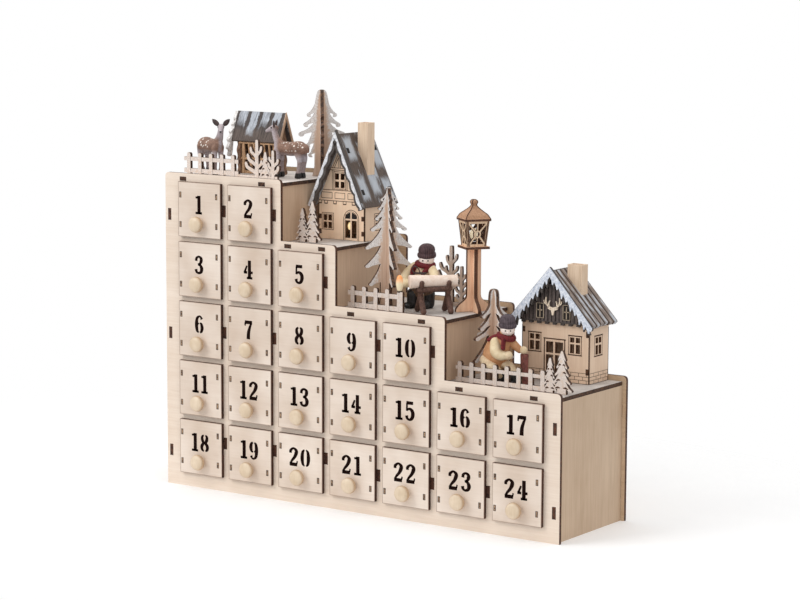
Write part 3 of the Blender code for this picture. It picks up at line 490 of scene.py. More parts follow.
# %% Rings and skins
def skin(rings):
    """Vertices and faces of a closed body from rings, an array of shape (rings, points, 3):
    quads join each ring to the next, and one flat face closes each end."""
    rings = np.asarray(rings, float)
    n, m = rings.shape[:2]
    row, col = np.meshgrid(np.arange(n - 1), np.arange(m), indexing="ij")
    here, there = row * m + col, row * m + (col + 1) % m
    quads = np.stack([here, there, there + m, here + m], axis=-1).reshape(-1, 4)
    faces = quads.tolist() + [list(range(m))[::-1], list(range((n - 1) * m, n * m))]
    return rings.reshape(-1, 3), faces


def block(x, y, z):
    """A block between pairs of limits, as two rings of four corners."""
    corners = np.array([[x[0], y[0]], [x[1], y[0]], [x[1], y[1]], [x[0], y[1]]], float)
    return skin([np.column_stack([corners, np.full(4, level)]) for level in z])


def turned(profile, around=40):
    """A turned body about Z: each (radius, height) of the profile gives one circle,
    (r cos a, r sin a, h) for a from 0 to a full turn."""
    profile = np.array(profile, float)
    angle = np.linspace(0, 2 * np.pi, around, endpoint=False)
    radius, height = profile[:, :1], profile[:, 1:]
    return skin(np.stack([radius * np.cos(angle), radius * np.sin(angle),
                          np.repeat(height, around, axis=1)], axis=-1))


print("a block has", len(block((0, 1), (0, 1), (0, 1))[0]), "corners")

# %% [markdown]
# Outlines and pen strokes begin as a few points. A smooth line runs through them, and a
# stroke lays its changing width off to both sides of that line.


# %% Smooth lines and strokes
def smooth_line(points, samples):
    """A smooth line through the points: each coordinate is a cubic between its neighbours
    (Catmull-Rom), 0.5 * (2b + (c-a)t + (2a-5b+4c-d)t^2 + (3b-a-3c+d)t^3)."""
    p = np.array(points, float)
    if len(p) == 2:
        return p[0] + np.linspace(0, 1, samples)[:, None] * (p[1] - p[0])
    p = np.vstack([2 * p[0] - p[1], p, 2 * p[-1] - p[-2]])
    place = np.linspace(0, len(p) - 3 - 1e-9, samples)
    k = place.astype(int)
    t = (place - k)[:, None]
    a, b, c, d = p[k], p[k + 1], p[k + 2], p[k + 3]
    return 0.5 * (2 * b + (c - a) * t + (2 * a - 5 * b + 4 * c - d) * t ** 2
                  + (3 * b - a - 3 * c + d) * t ** 3)


def strip(left, right, near, far):
    """A flat band between two lines of (u, v) points, as thick as from near to far: its
    rings are left-near, right-near, right-far, left-far, in the order (u, depth, v)."""
    left, right = np.asarray(left, float), np.asarray(right, float)
    corners = [(left, near), (right, near), (right, far), (left, far)]
    return skin(np.stack([np.column_stack([line[:, 0], np.full(len(line), depth), line[:, 1]])
                          for line, depth in corners], axis=1))


def stroke(points, near, far, samples=None):
    """A pen stroke of changing width: (u, v, width) points joined by a smooth line, with
    half the width laid off to both sides along the line's own normal."""
    samples = samples or (2 if len(points) == 2 else 6 * len(points))
    line = smooth_line(points, samples)
    run = np.gradient(line[:, :2], axis=0)
    run /= np.linalg.norm(run, axis=1, keepdims=True)
    side = np.column_stack([-run[:, 1], run[:, 0]]) * line[:, 2:] / 2
    return strip(line[:, :2] + side, line[:, :2] - side, near, far)


print("a line through 3 points passes", smooth_line([(0, 0), (1, 1), (2, 0)], 5)[2].round(2))

# %% [markdown]
# Parts are turned and moved as plain arrays. `build` then joins them into one piece of the
# scene, hangs it on the body that it rides on, and hides the packed board it stands in for.


# %% Place and build
def moved(part, x=0.0, y=0.0, z=0.0, turn=0.0):
    """A part turned about Z by so many degrees, then moved."""
    verts, faces = part
    c, s = math.cos(math.radians(turn)), math.sin(math.radians(turn))
    return np.asarray(verts) @ np.array([[c, s, 0], [-s, c, 0], [0, 0, 1]]) + [x, y, z], faces


def tipped(part, axes):
    """A part with its own X, Y and Z laid along three given directions."""
    return np.asarray(part[0]) @ np.array(axes, float), part[1]


def build(name, parts, material, body="case", smooth=None, slot=None, replaces=None):
    """Join parts, given in millimetres from the case's corner, into one piece of the scene.
    smooth is the angle in degrees under which neighbouring faces shade as one surface, slot
    is not used, replaces the packed node that the piece stands in for."""
    verts, faces, start = [], [], 0
    for part_verts, part_faces in parts:
        verts.append(np.asarray(part_verts, float))
        faces += [[index + start for index in face] for face in part_faces]
        start += len(part_verts)
    mesh = bpy.data.meshes.new(name)
    mesh.from_pydata((np.concatenate(verts) * MM + CORNER).tolist(), [], faces)
    shape = bmesh.new()
    shape.from_mesh(mesh)
    bmesh.ops.remove_doubles(shape, verts=shape.verts, dist=1e-7)
    bmesh.ops.recalc_face_normals(shape, faces=shape.faces)
    shape.to_mesh(mesh)
    shape.free()
    mesh.materials.append(material)
    if smooth is not None:
        mesh.shade_smooth()
        mesh.set_sharp_from_angle(angle=math.radians(smooth))
    piece = bpy.data.objects.new(name, mesh)
    bpy.context.scene.collection.objects.link(piece)
    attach(piece, body)
    if replaces:
        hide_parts(replaces)
    return piece


print("helpers ready")

# %% [markdown]
# ## Drawers
# A drawer is a little tray of thin boards behind a square front. The tray's side boards
# reach through the front in four small tabs, which show as dark rectangles, and the front's
# own edge is scorched. All fronts stand on one even grid, so the finish can find its place
# on any of them by taking whole steps of the grid away from the position.

# %% Drawer grid
COLUMN_STEP, ROW_STEP, PLATE_W, PLATE_H, PLY = 54.0, 51.9, 46.4, 47.4, 3.0
FIRST_X, FIRST_Z = 40.1, 12.35
DRAWERS_IN_ROW = (2, 3, 5, 7, 7)
DRAWER_SPOTS = {}
for row, count in enumerate(DRAWERS_IN_ROW):
    for column in range(count):
        DRAWER_SPOTS[len(DRAWER_SPOTS) + 1] = (
            FIRST_X + COLUMN_STEP * column, FIRST_Z + ROW_STEP * (len(DRAWERS_IN_ROW) - 1 - row))
print(len(DRAWER_SPOTS), "drawers; number 1 by the packed box:", node_box("drawer_01")[0].round(2),
      "by the grid:", DRAWER_SPOTS[1][0] - PLATE_W / 2, DRAWER_SPOTS[1][1])


# %% Drawer plywood
def drawer_front_ply():
    """Pale ply with a scorched rim and four dark tab ends, repeated on the drawer grid:
    u = X folded by the column step about a front's middle, v = Z folded by the row step."""
    front = Recipe("drawer front plywood")
    px, _, pz = front.axes()
    corner = at(0, 0, 0) / MM
    u = (px - (corner[0] + FIRST_X - COLUMN_STEP / 2)).wrap(COLUMN_STEP) - COLUMN_STEP / 2
    v = (pz - (corner[2] + FIRST_Z)).wrap(ROW_STEP)
    grain = front.noise(1.4, front.stretched((0.045, 1.0, 1.0)), 5.0, 0.65)
    clouds = front.noise(30.0, None, 2.0)
    fine = front.noise(0.5, front.stretched((0.02, 1.0, 1.0)), 2.0)
    each = front.noise(47.0, None, 0.0)
    shade = (grain * 0.24 + clouds * 0.6 + each * 0.4).ramp(0.4, 0.82)
    face = front.mix(shade, tint(207, 187, 169), tint(234, 220, 207))
    face = front.mix(fine.ramp(0.66, 0.76) * 0.14, face, tint(176, 148, 120))
    rim = (PLATE_W / 2 - abs(u)).least(v).least(PLATE_H - v)
    face = front.mix((1.0 - rim.ramp(0.15, 0.75)) * 0.75, face, tint(120, 84, 58))
    tab_u = (abs(u + 20.8)).least(abs(u - 18.8))
    tab_v = (abs(v - 10.5)).least(abs(v - 36.1))
    rim_of_tab = (1.2 - tab_u).least(2.55 - tab_v)
    end_grain = front.mix(front.noise(1.0).ramp(0.4, 0.6), tint(66, 42, 28), tint(170, 138, 106))
    face = front.mix(rim_of_tab.ramp(-0.1, 0.1), face, tint(38, 22, 13))
    face = front.mix(rim_of_tab.ramp(0.42, 0.62), face, end_grain)
    cut = abs(front.facing()[1]) < 0.7
    edge = front.mix(front.noise(2.4, None, 3.0).ramp(0.3, 0.75),
                     tint(36, 14, 6), tint(84, 45, 26))
    return front.done(front.mix(cut, face, edge), 0.6 + cut * 0.2, grain, 0.04)


def tray_ply():
    """Plain thin ply; upward cut edges are scorched."""
    tray = Recipe("tray plywood")
    grain = tray.noise(1.2, tray.stretched((1.0, 0.05, 1.0)), 5.0, 0.6)
    face = tray.mix(grain.ramp(0.3, 0.7), tint(206, 176, 144), tint(232, 208, 180))
    cut = (tray.facing()[2] > 0.7) * (tray.noise(3.0).ramp(0.2, 0.4))
    return tray.done(tray.mix(cut * 0.7, face, tint(108, 74, 48)), 0.68, grain, 0.04)


FRONT_FINISH, TRAY_FINISH = drawer_front_ply(), tray_ply()
print("drawer plywood ready")


# %% Knob and ink
def knob_wood():
    """Smooth cream lacquer over turned beech: faint rings of grain, soft sheen; painted shade
    darkens the knob's sides.
    """
    knob = Recipe("turned knob wood")
    grain = knob.noise(1.0, knob.stretched((1.0, 0.3, 0.12)), 4.0)
    clouds = knob.noise(9.0)
    colour = knob.mix((grain * 0.3 + clouds * 0.7).ramp(0.34, 0.68), tint(208, 186, 157),
                      tint(225, 206, 181))
    # Painted shade: the knob's sides, which turn away from the front, are darkened.
    side = 1.0 - abs(knob.facing()[1]).ramp(0.25, 0.8)
    colour = knob.mix(side * 0.7, colour, tint(182, 148, 112))
    return knob.done(colour, grain * 0.1 + 0.4, grain, 0.01, **{"Coat Weight": 0.15})


def stencil_black():
    """Black stencil ink, slightly brown and worn."""
    ink = Recipe("stencil ink")
    wear = ink.noise(0.9, None, 3.0)
    colour = ink.mix(wear.ramp(0.45, 0.8), tint(18, 4, 2), tint(38, 17, 11))
    return ink.done(colour, 0.9, wear, 0.01, **{"Specular IOR Level": 0.08})


KNOB_FINISH, INK = knob_wood(), stencil_black()
print("knob and ink ready")

# %% [markdown]
# ## Stencilled numbers
# The numbers are stencil figures with heavy stems, thin hairlines and small gaps where the
# stencil held together. Each figure is a few pen strokes of changing width on a body 8.7 mm
# wide and 15 mm high. Drawing them as strokes keeps them free of any font.

# %% Figures
SIX = [[(6.3, 11.9, 2.2), (5.4, 13.7, 1.4), (4.0, 14.3, 1.2), (2.0, 12.4, 2.2), (1.4, 7.6, 2.8),
        (1.9, 2.8, 2.3), (3.3, 0.9, 1.1)],
       [(4.5, 8.9, 1.0), (5.9, 7.7, 2.1), (6.5, 4.8, 2.7), (5.9, 2.1, 2.1), (4.6, 0.8, 1.1)],
       [(2.4, 7.2, 0.8), (3.5, 8.8, 1.0)]]
FIGURES = {
    "1": (6.3, [[(3.6, 0.2, 2.7), (3.6, 14.9, 2.7)], [(0.4, 0.75, 1.5), (6.3, 0.75, 1.5)],
                [(0.5, 13.3, 1.2), (3.4, 13.6, 1.6)]]),
    "2": (8.3, [[(1.4, 10.2, 2.0), (1.5, 12.2, 2.1), (3.9, 14.2, 1.4), (6.3, 12.6, 2.4),
                 (6.3, 10.4, 2.8), (4.9, 7.2, 2.2), (2.6, 4.2, 1.7), (1.2, 1.6, 1.5)],
                [(0.5, 1.2, 2.3), (7.2, 1.2, 2.3)], [(6.8, 1.6, 1.1), (7.3, 4.2, 1.0)]]),
    "3": (8.0, [[(1.5, 10.6, 2.2), (1.9, 12.9, 1.9), (3.9, 14.2, 1.4), (6.0, 12.8, 2.3),
                 (6.0, 10.5, 2.6), (4.9, 8.6, 1.7), (3.1, 7.8, 1.3)],
                [(3.1, 7.9, 1.3), (5.2, 7.2, 1.9), (6.5, 4.6, 2.8), (5.9, 1.9, 2.3),
                 (3.8, 0.8, 1.5), (1.8, 1.8, 1.9), (1.3, 3.9, 2.4)]]),
    "4": (8.6, [[(5.3, 0.2, 2.6), (5.3, 14.9, 2.6)], [(2.9, 0.75, 1.5), (7.9, 0.75, 1.5)],
                [(6.4, 5.2, 1.7), (8.2, 5.2, 1.7)], [(0.2, 5.2, 1.7), (3.3, 5.2, 1.7)],
                [(0.9, 5.0, 1.7), (3.0, 10.6, 1.3)]]),
    "5": (8.0, [[(1.1, 13.9, 2.2), (6.7, 13.9, 2.0)], [(1.6, 13.6, 1.3), (1.5, 7.6, 1.3)],
                [(1.5, 7.9, 1.3), (3.4, 9.3, 1.6), (5.7, 8.0, 2.5), (6.5, 5.1, 2.8), 
                 (5.6, 2.0, 2.3), (3.6, 0.8, 1.5), (1.8, 1.9, 1.9), (1.3, 3.9, 2.4)]]),
    "6": (8.0, SIX),
    "7": (8.0, [[(0.6, 13.8, 2.3), (7.2, 13.8, 2.3)], [(1.0, 13.6, 1.2), (0.9, 10.9, 1.1)],
                [(6.4, 13.2, 1.4), (5.1, 9.8, 2.0), (4.0, 5.6, 2.6), (3.7, 0.1, 2.9)]]),
    "8": (8.2, [[(3.3, 14.2, 1.0), (1.9, 12.7, 2.0), (1.9, 10.2, 2.4), (2.9, 7.7, 2.1),
                 (1.5, 5.0, 2.5), (1.7, 2.4, 2.2), (3.3, 0.8, 1.0)],
                [(4.7, 14.2, 1.0), (6.1, 12.7, 2.2), (6.0, 10.2, 2.5), (5.0, 7.7, 2.2),
                 (6.5, 5.0, 2.6), (6.3, 2.4, 2.3), (4.7, 0.8, 1.0)]]),
    "9": (8.0, [[(7.9 - u, 15.0 - v, w) for u, v, w in line] for line in SIX]),
    "0": (8.2, [[(3.3, 14.2, 0.9), (1.8, 12.0, 2.2), (1.3, 7.5, 2.8), (1.8, 3.0, 2.2),
                 (3.3, 0.8, 0.9)],
                [(4.8, 14.2, 0.9), (6.3, 12.0, 2.2), (6.8, 7.5, 2.8), (6.3, 3.0, 2.2),
                 (4.8, 0.8, 0.9)]]),
}
FIGURE_GAP, FIGURE_FOOT, FIGURE_WIDEN, FIGURE_TALL, BOLD = 2.4, 20.4, 1.2, 1.06, 1.28
print("drew", len(FIGURES), "figures")


# %% Numbers
def number_parts(number, x, z, near, far):
    """The strokes of a whole number, centred on x with its foot at z."""
    text = str(number)
    total = sum(FIGURES[c][0] for c in text) * FIGURE_WIDEN + FIGURE_GAP * (len(text) - 1)
    parts, left = [], x - total / 2
    for c in text:
        width, lines = FIGURES[c]
        for line in lines:
            parts.append(stroke([(left + u * FIGURE_WIDEN, z + v * FIGURE_TALL, w * BOLD + 0.1)
                                 for u, v, w in line], near, far))
        left += width * FIGURE_WIDEN + FIGURE_GAP
    return parts


print("number 24 has", len(number_parts(24, 0, 0, 0, 1)), "strokes")

# %% [markdown]
# ## Put the drawers together
# Front and tray are boards, the knob is turned on a lathe and glued to the front, and the
# number lies on the face. Each drawer rides on its own body, so it slides out as one.

# %% Build the drawers
KNOB_PROFILE = smooth_line([(0.01, 8.6), (2.8, 8.5), (5.1, 7.9), (6.5, 6.7), (6.9, 5.0), (6.4, 3.2),
                            (4.8, 1.8), (3.7, 0.9), (3.4, 0.0)], 36)
KNOB_PROFILE = np.vstack([KNOB_PROFILE, [(3.4, -0.6)]])
LATHE = ((1, 0, 0), (0, 0, -1), (0, -1, 0))       # a knob's own height points out of the front
FACE_Y, PLATE_BACK, TRAY_BACK, TRAY_HALF = -3.3, -0.3, 94.4, 21
TRAY_FOOT, TRAY_TOP, KNOB_RISE, OVERLAP = 0.75, 40.75, 11.7, 0.01

for number, (x, z) in DRAWER_SPOTS.items():
    body, digits = f"drawer_{number:02d}", f"{number:02d}"
    plate = block((x - PLATE_W / 2, x + PLATE_W / 2), (FACE_Y, PLATE_BACK), (z, z + PLATE_H))
    build("drawer_front_" + digits, [plate], FRONT_FINISH, body, slot="drawer_plywood",
          replaces=body)
    low, high, inner = z + TRAY_FOOT, z + TRAY_TOP, TRAY_HALF - PLY + OVERLAP
    along_y = (PLATE_BACK - OVERLAP, TRAY_BACK)
    tray = [block((x - TRAY_HALF, x - TRAY_HALF + PLY), along_y, (low, high)),
            block((x + TRAY_HALF - PLY, x + TRAY_HALF), along_y, (low, high)),
            block((x - inner, x + inner), along_y, (low, low + PLY)),
            block((x - inner, x + inner), (TRAY_BACK - PLY, TRAY_BACK),
                  (low + PLY - OVERLAP, high))]
    build("drawer_tray_" + digits, tray, TRAY_FINISH, body, slot="drawer_plywood")
    knob = moved(tipped(turned(KNOB_PROFILE, 36), LATHE), x, FACE_Y, z + KNOB_RISE)
    build("knob_" + digits, [knob], KNOB_FINISH, body, 40, slot="drawer_plywood")
    figures = number_parts(number, x - 0.7, z + FIGURE_FOOT, FACE_Y - 0.04, FACE_Y + 0.1)
    build("number_" + digits, figures, INK, body, slot="drawer_plywood")
print("built", len(DRAWER_SPOTS), "drawers")

# %% [markdown]
# ## Rounded bodies
# Figures and deer are small painted carvings with no flat face on them. Two more helpers
# draw them: a tube follows a bent line and may swell, narrow and be wider than it is
# thick, and an egg is a ball with three radii. Where several of them must flow into one
# skin, as a deer's neck into its chest, they are overlapped, remeshed into one closed
# surface with small cubes, and smoothed.


# %% Tubes, eggs and blends
def tube(points, around=24, samples=None, caps=True):
    """A body along a smooth line of (x, y, z, half width, half thickness) points. Each ring
    is centre + a cos(t) side + b sin(t) lift; rounded ends repeat the end ring, shrunk by
    cos(e) and moved out by sin(e)."""
    points = [tuple(p) + (p[3],) * (5 - len(p)) for p in points]
    line = smooth_line(points, samples or max(8, 5 * len(points)))
    run = np.gradient(line[:, :3], axis=0)
    run /= np.linalg.norm(run, axis=1, keepdims=True)
    whole = np.abs(line[-1, :3] - line[0, :3])
    reference = np.eye(3)[int(np.argmin(whole))]
    side = np.cross(run, reference)
    side /= np.linalg.norm(side, axis=1, keepdims=True)
    lift = np.cross(side, run)
    if caps:
        ease = np.append(np.linspace(0, np.pi / 2, 5)[1:4], np.pi / 2 - 0.02)
        ends = []
        for k, sign in ((0, -1), (-1, 1)):
            length = min(line[k, 3], line[k, 4])
            centre = line[k, :3] + sign * run[k] * length * np.sin(ease)[:, None]
            size = line[k, 3:] * np.cos(ease)[:, None]
            ends.append((np.hstack([centre, size]), np.repeat(side[[k]], 4, 0),
                         np.repeat(lift[[k]], 4, 0)))
        (first, s0, l0), (last, s1, l1) = ends
        line = np.vstack([first[::-1], line, last])
        side, lift = np.vstack([s0, side, s1]), np.vstack([l0, lift, l1])
    angle = np.linspace(0, 2 * np.pi, around, endpoint=False)
    rings = (line[:, None, :3] + line[:, None, 3:4] * np.cos(angle)[None, :, None] * side[:, None]
             + line[:, None, 4:5] * np.sin(angle)[None, :, None] * lift[:, None])
    return skin(rings)


def egg(centre, radii, around=28, rows=16):
    """A ball with its own radius along X, Y and Z: rings at latitude e have the radii times
    cos(e), at height c + radius sin(e)."""
    rise = np.linspace(-np.pi / 2 + 0.02, np.pi / 2 - 0.02, rows)
    angle = np.linspace(0, 2 * np.pi, around, endpoint=False)
    rings = np.stack([np.outer(np.cos(rise), np.cos(angle)) * radii[0],
                      np.outer(np.cos(rise), np.sin(angle)) * radii[1],
                      np.outer(np.sin(rise), np.ones(around)) * radii[2]], axis=-1)
    return skin(rings + np.array(centre, float))


def blended(piece, cube, rounds):
    """Flow overlapping bodies into one skin with cubes of that size, in millimetres, and
    smooth it for so many rounds."""
    remesh = piece.modifiers.new("one skin", "REMESH")
    remesh.mode, remesh.voxel_size, remesh.use_smooth_shade = "VOXEL", cube * MM, True
    ease = piece.modifiers.new("ease", "SMOOTH")
    ease.factor, ease.iterations = 0.5, rounds


print("an egg has", len(egg((0, 0, 0), (1, 1, 1))[0]), "points")

# %% [markdown]
# ## Deer
# The deer are cast and painted: brown fur with white spots along the back and rump, a grey
# chest, neck and belly, dark ears and black hooves. The body is drawn once with its chest
# towards minus X; the head turns on the neck, so one recipe serves both animals. The paint
# follows the animal's own length and height, so its recipe undoes the deer's turn first.

# %% Fur and enamel
def deer_fur(name, x, y, base, turn, bib):
    """Fur for a deer standing at (x, y) on a step at height base, turned by degrees:
    along = distance along its length from the middle, high = height above the step. bib =
    half width of the pale patch on the chest; above it the whole neck is pale."""
    fur = Recipe(name)
    px, py, pz = fur.axes()
    corner = at(0, 0, 0) / MM
    c, s = math.cos(math.radians(turn)), math.sin(math.radians(turn))
    dx, dy = px - (corner[0] + x), py - (corner[1] + y)
    along, across = dx * c + dy * s, dy * c - dx * s
    high = pz - (corner[2] + base)
    hair = fur.noise(0.9, fur.stretched((0.5, 1.0, 1.4)), 4.0, 0.7)
    clouds = fur.noise(6.0, None, 3.0)
    brown = fur.mix((hair * 0.5 + clouds * 0.5).ramp(0.34, 0.68),
                    tint(92, 66, 54), tint(158, 124, 106))
    grey = fur.mix(hair.ramp(0.3, 0.7), tint(150, 138, 142), tint(204, 194, 198))
    belly = (1.0 - (high + clouds * 3.0).ramp(19.5, 23.5)) * (high > 14.0)
    chest = (1.0 - (along + high * 0.34 + clouds * 3.0).ramp(-1.6, 2.4)) * (high > 20.0)
    beside = (abs(across) + clouds * 2.0).ramp(bib, bib + 2.0)
    chest = chest * (1.0 - beside * (1.0 - high.ramp(30.0, 35.0)))
    legs = (1.0 - high.ramp(12.0, 20.0)) * 0.55
    coat = fur.mix(belly.most(chest * 0.9).most(legs), brown, grey)
    speck = fur.node("ShaderNodeTexVoronoi", None, {"Vector": fur.place, "Scale": 0.36}, output=0)
    dots = (1.0 - speck.ramp(0.24, 0.34)) * high.ramp(22.5, 24.5) * along.ramp(-6.5, -3.5)
    coat = fur.mix(dots * (1.0 - chest), coat, tint(238, 228, 218))
    hoof = 1.0 - high.ramp(4.2, 5.0)
    coat = fur.mix(hoof, coat, tint(26, 22, 22))
    return fur.done(coat, 0.72 - hoof * 0.3, hair, 0.12)


def gloss_paint(name, dark, light, roughness=0.35):
    """Plain shiny enamel with small clouds, for eyes, noses and boots, and for the black of
    openings, which is painted shade.
    """
    enamel = Recipe(name)
    clouds = enamel.noise(2.0, None, 2.0)
    colour = enamel.mix(clouds.ramp(0.35, 0.65), tint(*dark), tint(*light))
    return enamel.done(colour, roughness, clouds, 0.03)


BLACK_ENAMEL = gloss_paint("black enamel", (14, 12, 13), (36, 32, 32))
EAR_PAINT = gloss_paint("dark ear paint", (40, 30, 30), (78, 60, 58), 0.7)


print("fur and enamel ready")

# %% [markdown]
# A deer's parts are lists of (x, y, z, half width, half thickness). Legs and ears are listed
# for one side and mirrored for the other.


# %% Measures of a deer
TRUNK = [(15.4, 0, 25.2, 4.4, 5.0), (10.0, 0, 25.6, 6.2, 7.4), (0.0, 0, 24.6, 6.0, 6.6),
         (-8.0, 0, 25.6, 5.7, 5.8), (-12.6, 0, 27.2, 3.9, 4.0)]
NECK = [(-9.0, 0, 27.0, 4.0, 4.8), (-13.6, 0, 31.4, 3.0, 3.7), (-16.0, 0, 36.6, 2.5, 2.8),
        (-17.0, 0, 40.4, 2.4, 2.5)]
TAIL = [(15.6, 0, 28.4, 1.8, 1.4), (18.6, 0, 26.4, 1.8, 1.5), (19.8, 0, 22.8, 1.1, 0.9)]
FORE_LEG = [(-11.6, 2.7, 24.0, 2.9, 3.3), (-11.2, 3.0, 17.0, 2.1, 2.5),
            (-11.6, 3.1, 11.0, 1.9, 2.2), (-11.2, 3.1, 5.4, 1.8, 1.9)]
HIND_LEG = [(10.6, 3.2, 24.0, 3.6, 5.2), (12.8, 3.4, 17.0, 2.5, 3.3),
            (12.8, 3.3, 13.0, 2.0, 2.3), (11.4, 3.2, 5.4, 1.8, 1.9)]
# a hoof's rings: how far it reaches ahead and behind, half width, height
HOOF = ((3.2, 2.4, 2.1, 0.0), (2.9, 2.2, 2.0, 2.2), (1.7, 1.6, 1.6, 5.6))
HOOF_SIDE, FORE_HOOF, HIND_HOOF = 3.1, -11.2, 11.4
SKULL_LINE = [(2.0, 0, 0.4, 3.1, 2.9), (-0.6, 0, 0.6, 3.5, 3.4), (-3.6, 0, -0.6, 2.6, 2.5),
              (-6.6, 0, -2.0, 1.9, 1.7), (-8.0, 0, -2.6, 1.5, 1.3)]
EAR = [(0.6, 2.2, 2.0, 1.1, 0.8), (0.9, 4.4, 4.2, 2.5, 1.0), (1.3, 6.8, 6.6, 2.1, 0.8),
       (1.6, 8.6, 8.4, 0.5, 0.3)]
NECK_TOP, HEAD_SIZE = (-17.2, 0, 41.2), 0.86
print("a leg has", len(FORE_LEG), "points")


# %% Build the deer
def mirrored(line, side):
    """A line of points on the right of the animal (side 1) or on its left (side -1)."""
    return [(x, side * y, *rest) for x, y, *rest in line]


def deer(name, x, y, base, turn, head_turn, head_drop, bib=9.0):
    """Body, legs, neck and head of a deer; see the recipe for what the numbers mean."""
    parts = [tube(TRUNK), tube(NECK), tube(TAIL)]
    ears, eyes = [], []
    for side in (-1, 1):
        parts += [tube(mirrored(FORE_LEG, side)), tube(mirrored(HIND_LEG, side))]
        middle = side * HOOF_SIDE
        for leg in (FORE_HOOF, HIND_HOOF):
            parts.append(skin([[(leg - a, middle - b, h), (leg + c, middle - b, h),
                                (leg + c, middle + b, h), (leg - a, middle + b, h)]
                               for a, c, b, h in HOOF]))
        ears.append(tube(mirrored(EAR, side), 16))
        eyes.append(egg((-2.2, side * 3.0, 1.2), (0.85, 0.5, 0.85), 12, 8))
    eyes.append(egg((-9.1, 0, -2.3), (0.9, 1.2, 0.9), 14, 8))        # the nose

    def on_neck(part):
        """Head parts: tip the nose down, turn the head, set it on the neck."""
        c, s = math.cos(math.radians(head_drop)), math.sin(math.radians(head_drop))
        verts, faces = tipped(part, ((c, 0, s), (0, 1, 0), (-s, 0, c)))
        return moved((np.asarray(verts) * HEAD_SIZE, faces), *NECK_TOP, head_turn)

    def in_place(part):
        """Turn the deer and set it on its step."""
        return moved(part, x, y, base, turn)

    body = build(name + "_body", [in_place(part) for part in parts + [on_neck(tube(SKULL_LINE))]],
                 deer_fur(name + " fur", x, y, base, turn, bib), smooth=60, slot="brown_fur",
                 replaces=name)
    blended(body, 0.55, 5)
    for title, group, paint in (("_ears", ears, EAR_PAINT), ("_eyes", eyes, BLACK_ENAMEL)):
        build(name + title, [in_place(on_neck(part)) for part in group], paint, smooth=60,
              slot="brown_fur")


deer("deer_right", 98.5, 48.6, TOP_STEP, 0.0, 25.0, 0.0)
deer("deer_left", 22.6, 35.6, TOP_STEP, 158.0, -33.0, 8.0, 1.6)
print("two deer stand on the top step")

# %% [markdown]
# ## Cloth and skin paint for the small figures
# The figures are painted carvings, so their clothes are matt paint with a slightly rubbed
# surface rather than woven cloth. The caps are modelled as knitwear: fine ribs run over
# them, made in the finish from the angle about the cap's own axis.


# %% Figure finishes
def rubbed_paint(name, dark, light, size=3.0, roughness=0.8):
    """Matt paint, darker in patches and rubbed lighter in others."""
    paint = Recipe(name)
    patches = paint.noise(size, None, 4.0, 0.6)
    fine = paint.noise(0.6, None, 2.0)
    colour = paint.mix((patches * 0.7 + fine * 0.3).ramp(0.34, 0.66), tint(*dark), tint(*light))
    return paint.done(colour, roughness, fine * 0.5 + patches * 0.5, 0.08)


def knitted(name, dark, light, x, y):
    """Ribbed knit about an upright axis at (x, y): ribs = sine of the angle times 30."""
    wool = Recipe(name)
    px, py, pz = wool.axes()
    corner = at(x, y, 0) / MM
    angle = (py - corner[1]).maths("ARCTAN2", px - corner[0])
    ribs = (angle * 30.0).maths("SINE") * 0.5 + 0.5
    rows = (pz * 6.0).maths("SINE") * 0.5 + 0.5
    knit = ribs * (rows * 0.4 + 0.6)
    patches = wool.noise(3.0, None, 3.0)
    colour = wool.mix((knit * 0.4 + patches * 0.6).ramp(0.25, 0.7), tint(*dark), tint(*light))
    return wool.done(colour, 0.85, knit, 0.16)


def bark(name, dark, light):
    """Rough bark or stained stick."""
    stick = Recipe(name)
    cracks = stick.noise(1.2, stick.stretched((1.0, 1.0, 0.35)), 5.0, 0.7)
    colour = stick.mix(cracks.ramp(0.34, 0.66), tint(*dark), tint(*light))
    return stick.done(colour, 0.8, cracks, 0.35)


SKIN = rubbed_paint("face paint", (238, 218, 208), (248, 236, 228), 4.0, 0.6)
RED_WOOL = rubbed_paint("red scarf paint", (62, 12, 18), (132, 26, 34), 1.4)
CREAM_COAT = rubbed_paint("cream coat paint", (206, 176, 138), (236, 212, 180), 5.0)
SLEEVE_PAINT = rubbed_paint("cream sleeve paint", (212, 188, 146), (238, 220, 186), 5.0)
ORANGE_COAT = rubbed_paint("orange coat paint", (176, 118, 76), (218, 168, 124), 6.0)
HAND_PAINT = rubbed_paint("mitten paint", (216, 188, 148), (240, 220, 188), 4.0)
TROUSERS = rubbed_paint("trouser paint", (206, 178, 140), (234, 214, 184), 4.0)
STUMP_BARK = bark("stump bark", (84, 44, 40), (146, 86, 76))
STICK_BARK = bark("sawhorse bark", (58, 36, 30), (112, 80, 66))
LOG_WOOD = rubbed_paint("peeled log", (230, 204, 186), (248, 232, 218), 2.6)
LOG_WOOD.node_tree.nodes["Principled BSDF"].inputs["Specular IOR Level"].default_value = 0.3
print("figure finishes ready")

# %% [markdown]
# ## Heads and caps
# Both figures have the same turned head: a ball with a rolled woollen cap pulled low, a
# small round nose and two dots for eyes, which is as much of a face as a doll needs.

# %% Head
CAP_PROFILE = smooth_line([(0.02, 9.0), (3.6, 8.6), (6.4, 6.4), (7.5, 3.4), (7.3, 1.4), (7.5, 0.9),
                           (8.2, 0.2), (8.5, -1.4), (8.0, -3.0), (7.0, -3.4), (5.8, -2.9)], 50)
CREAM = {"smooth": 60, "slot": "cream_cloth"}
TAN = {"smooth": 60, "slot": "tan_cloth"}


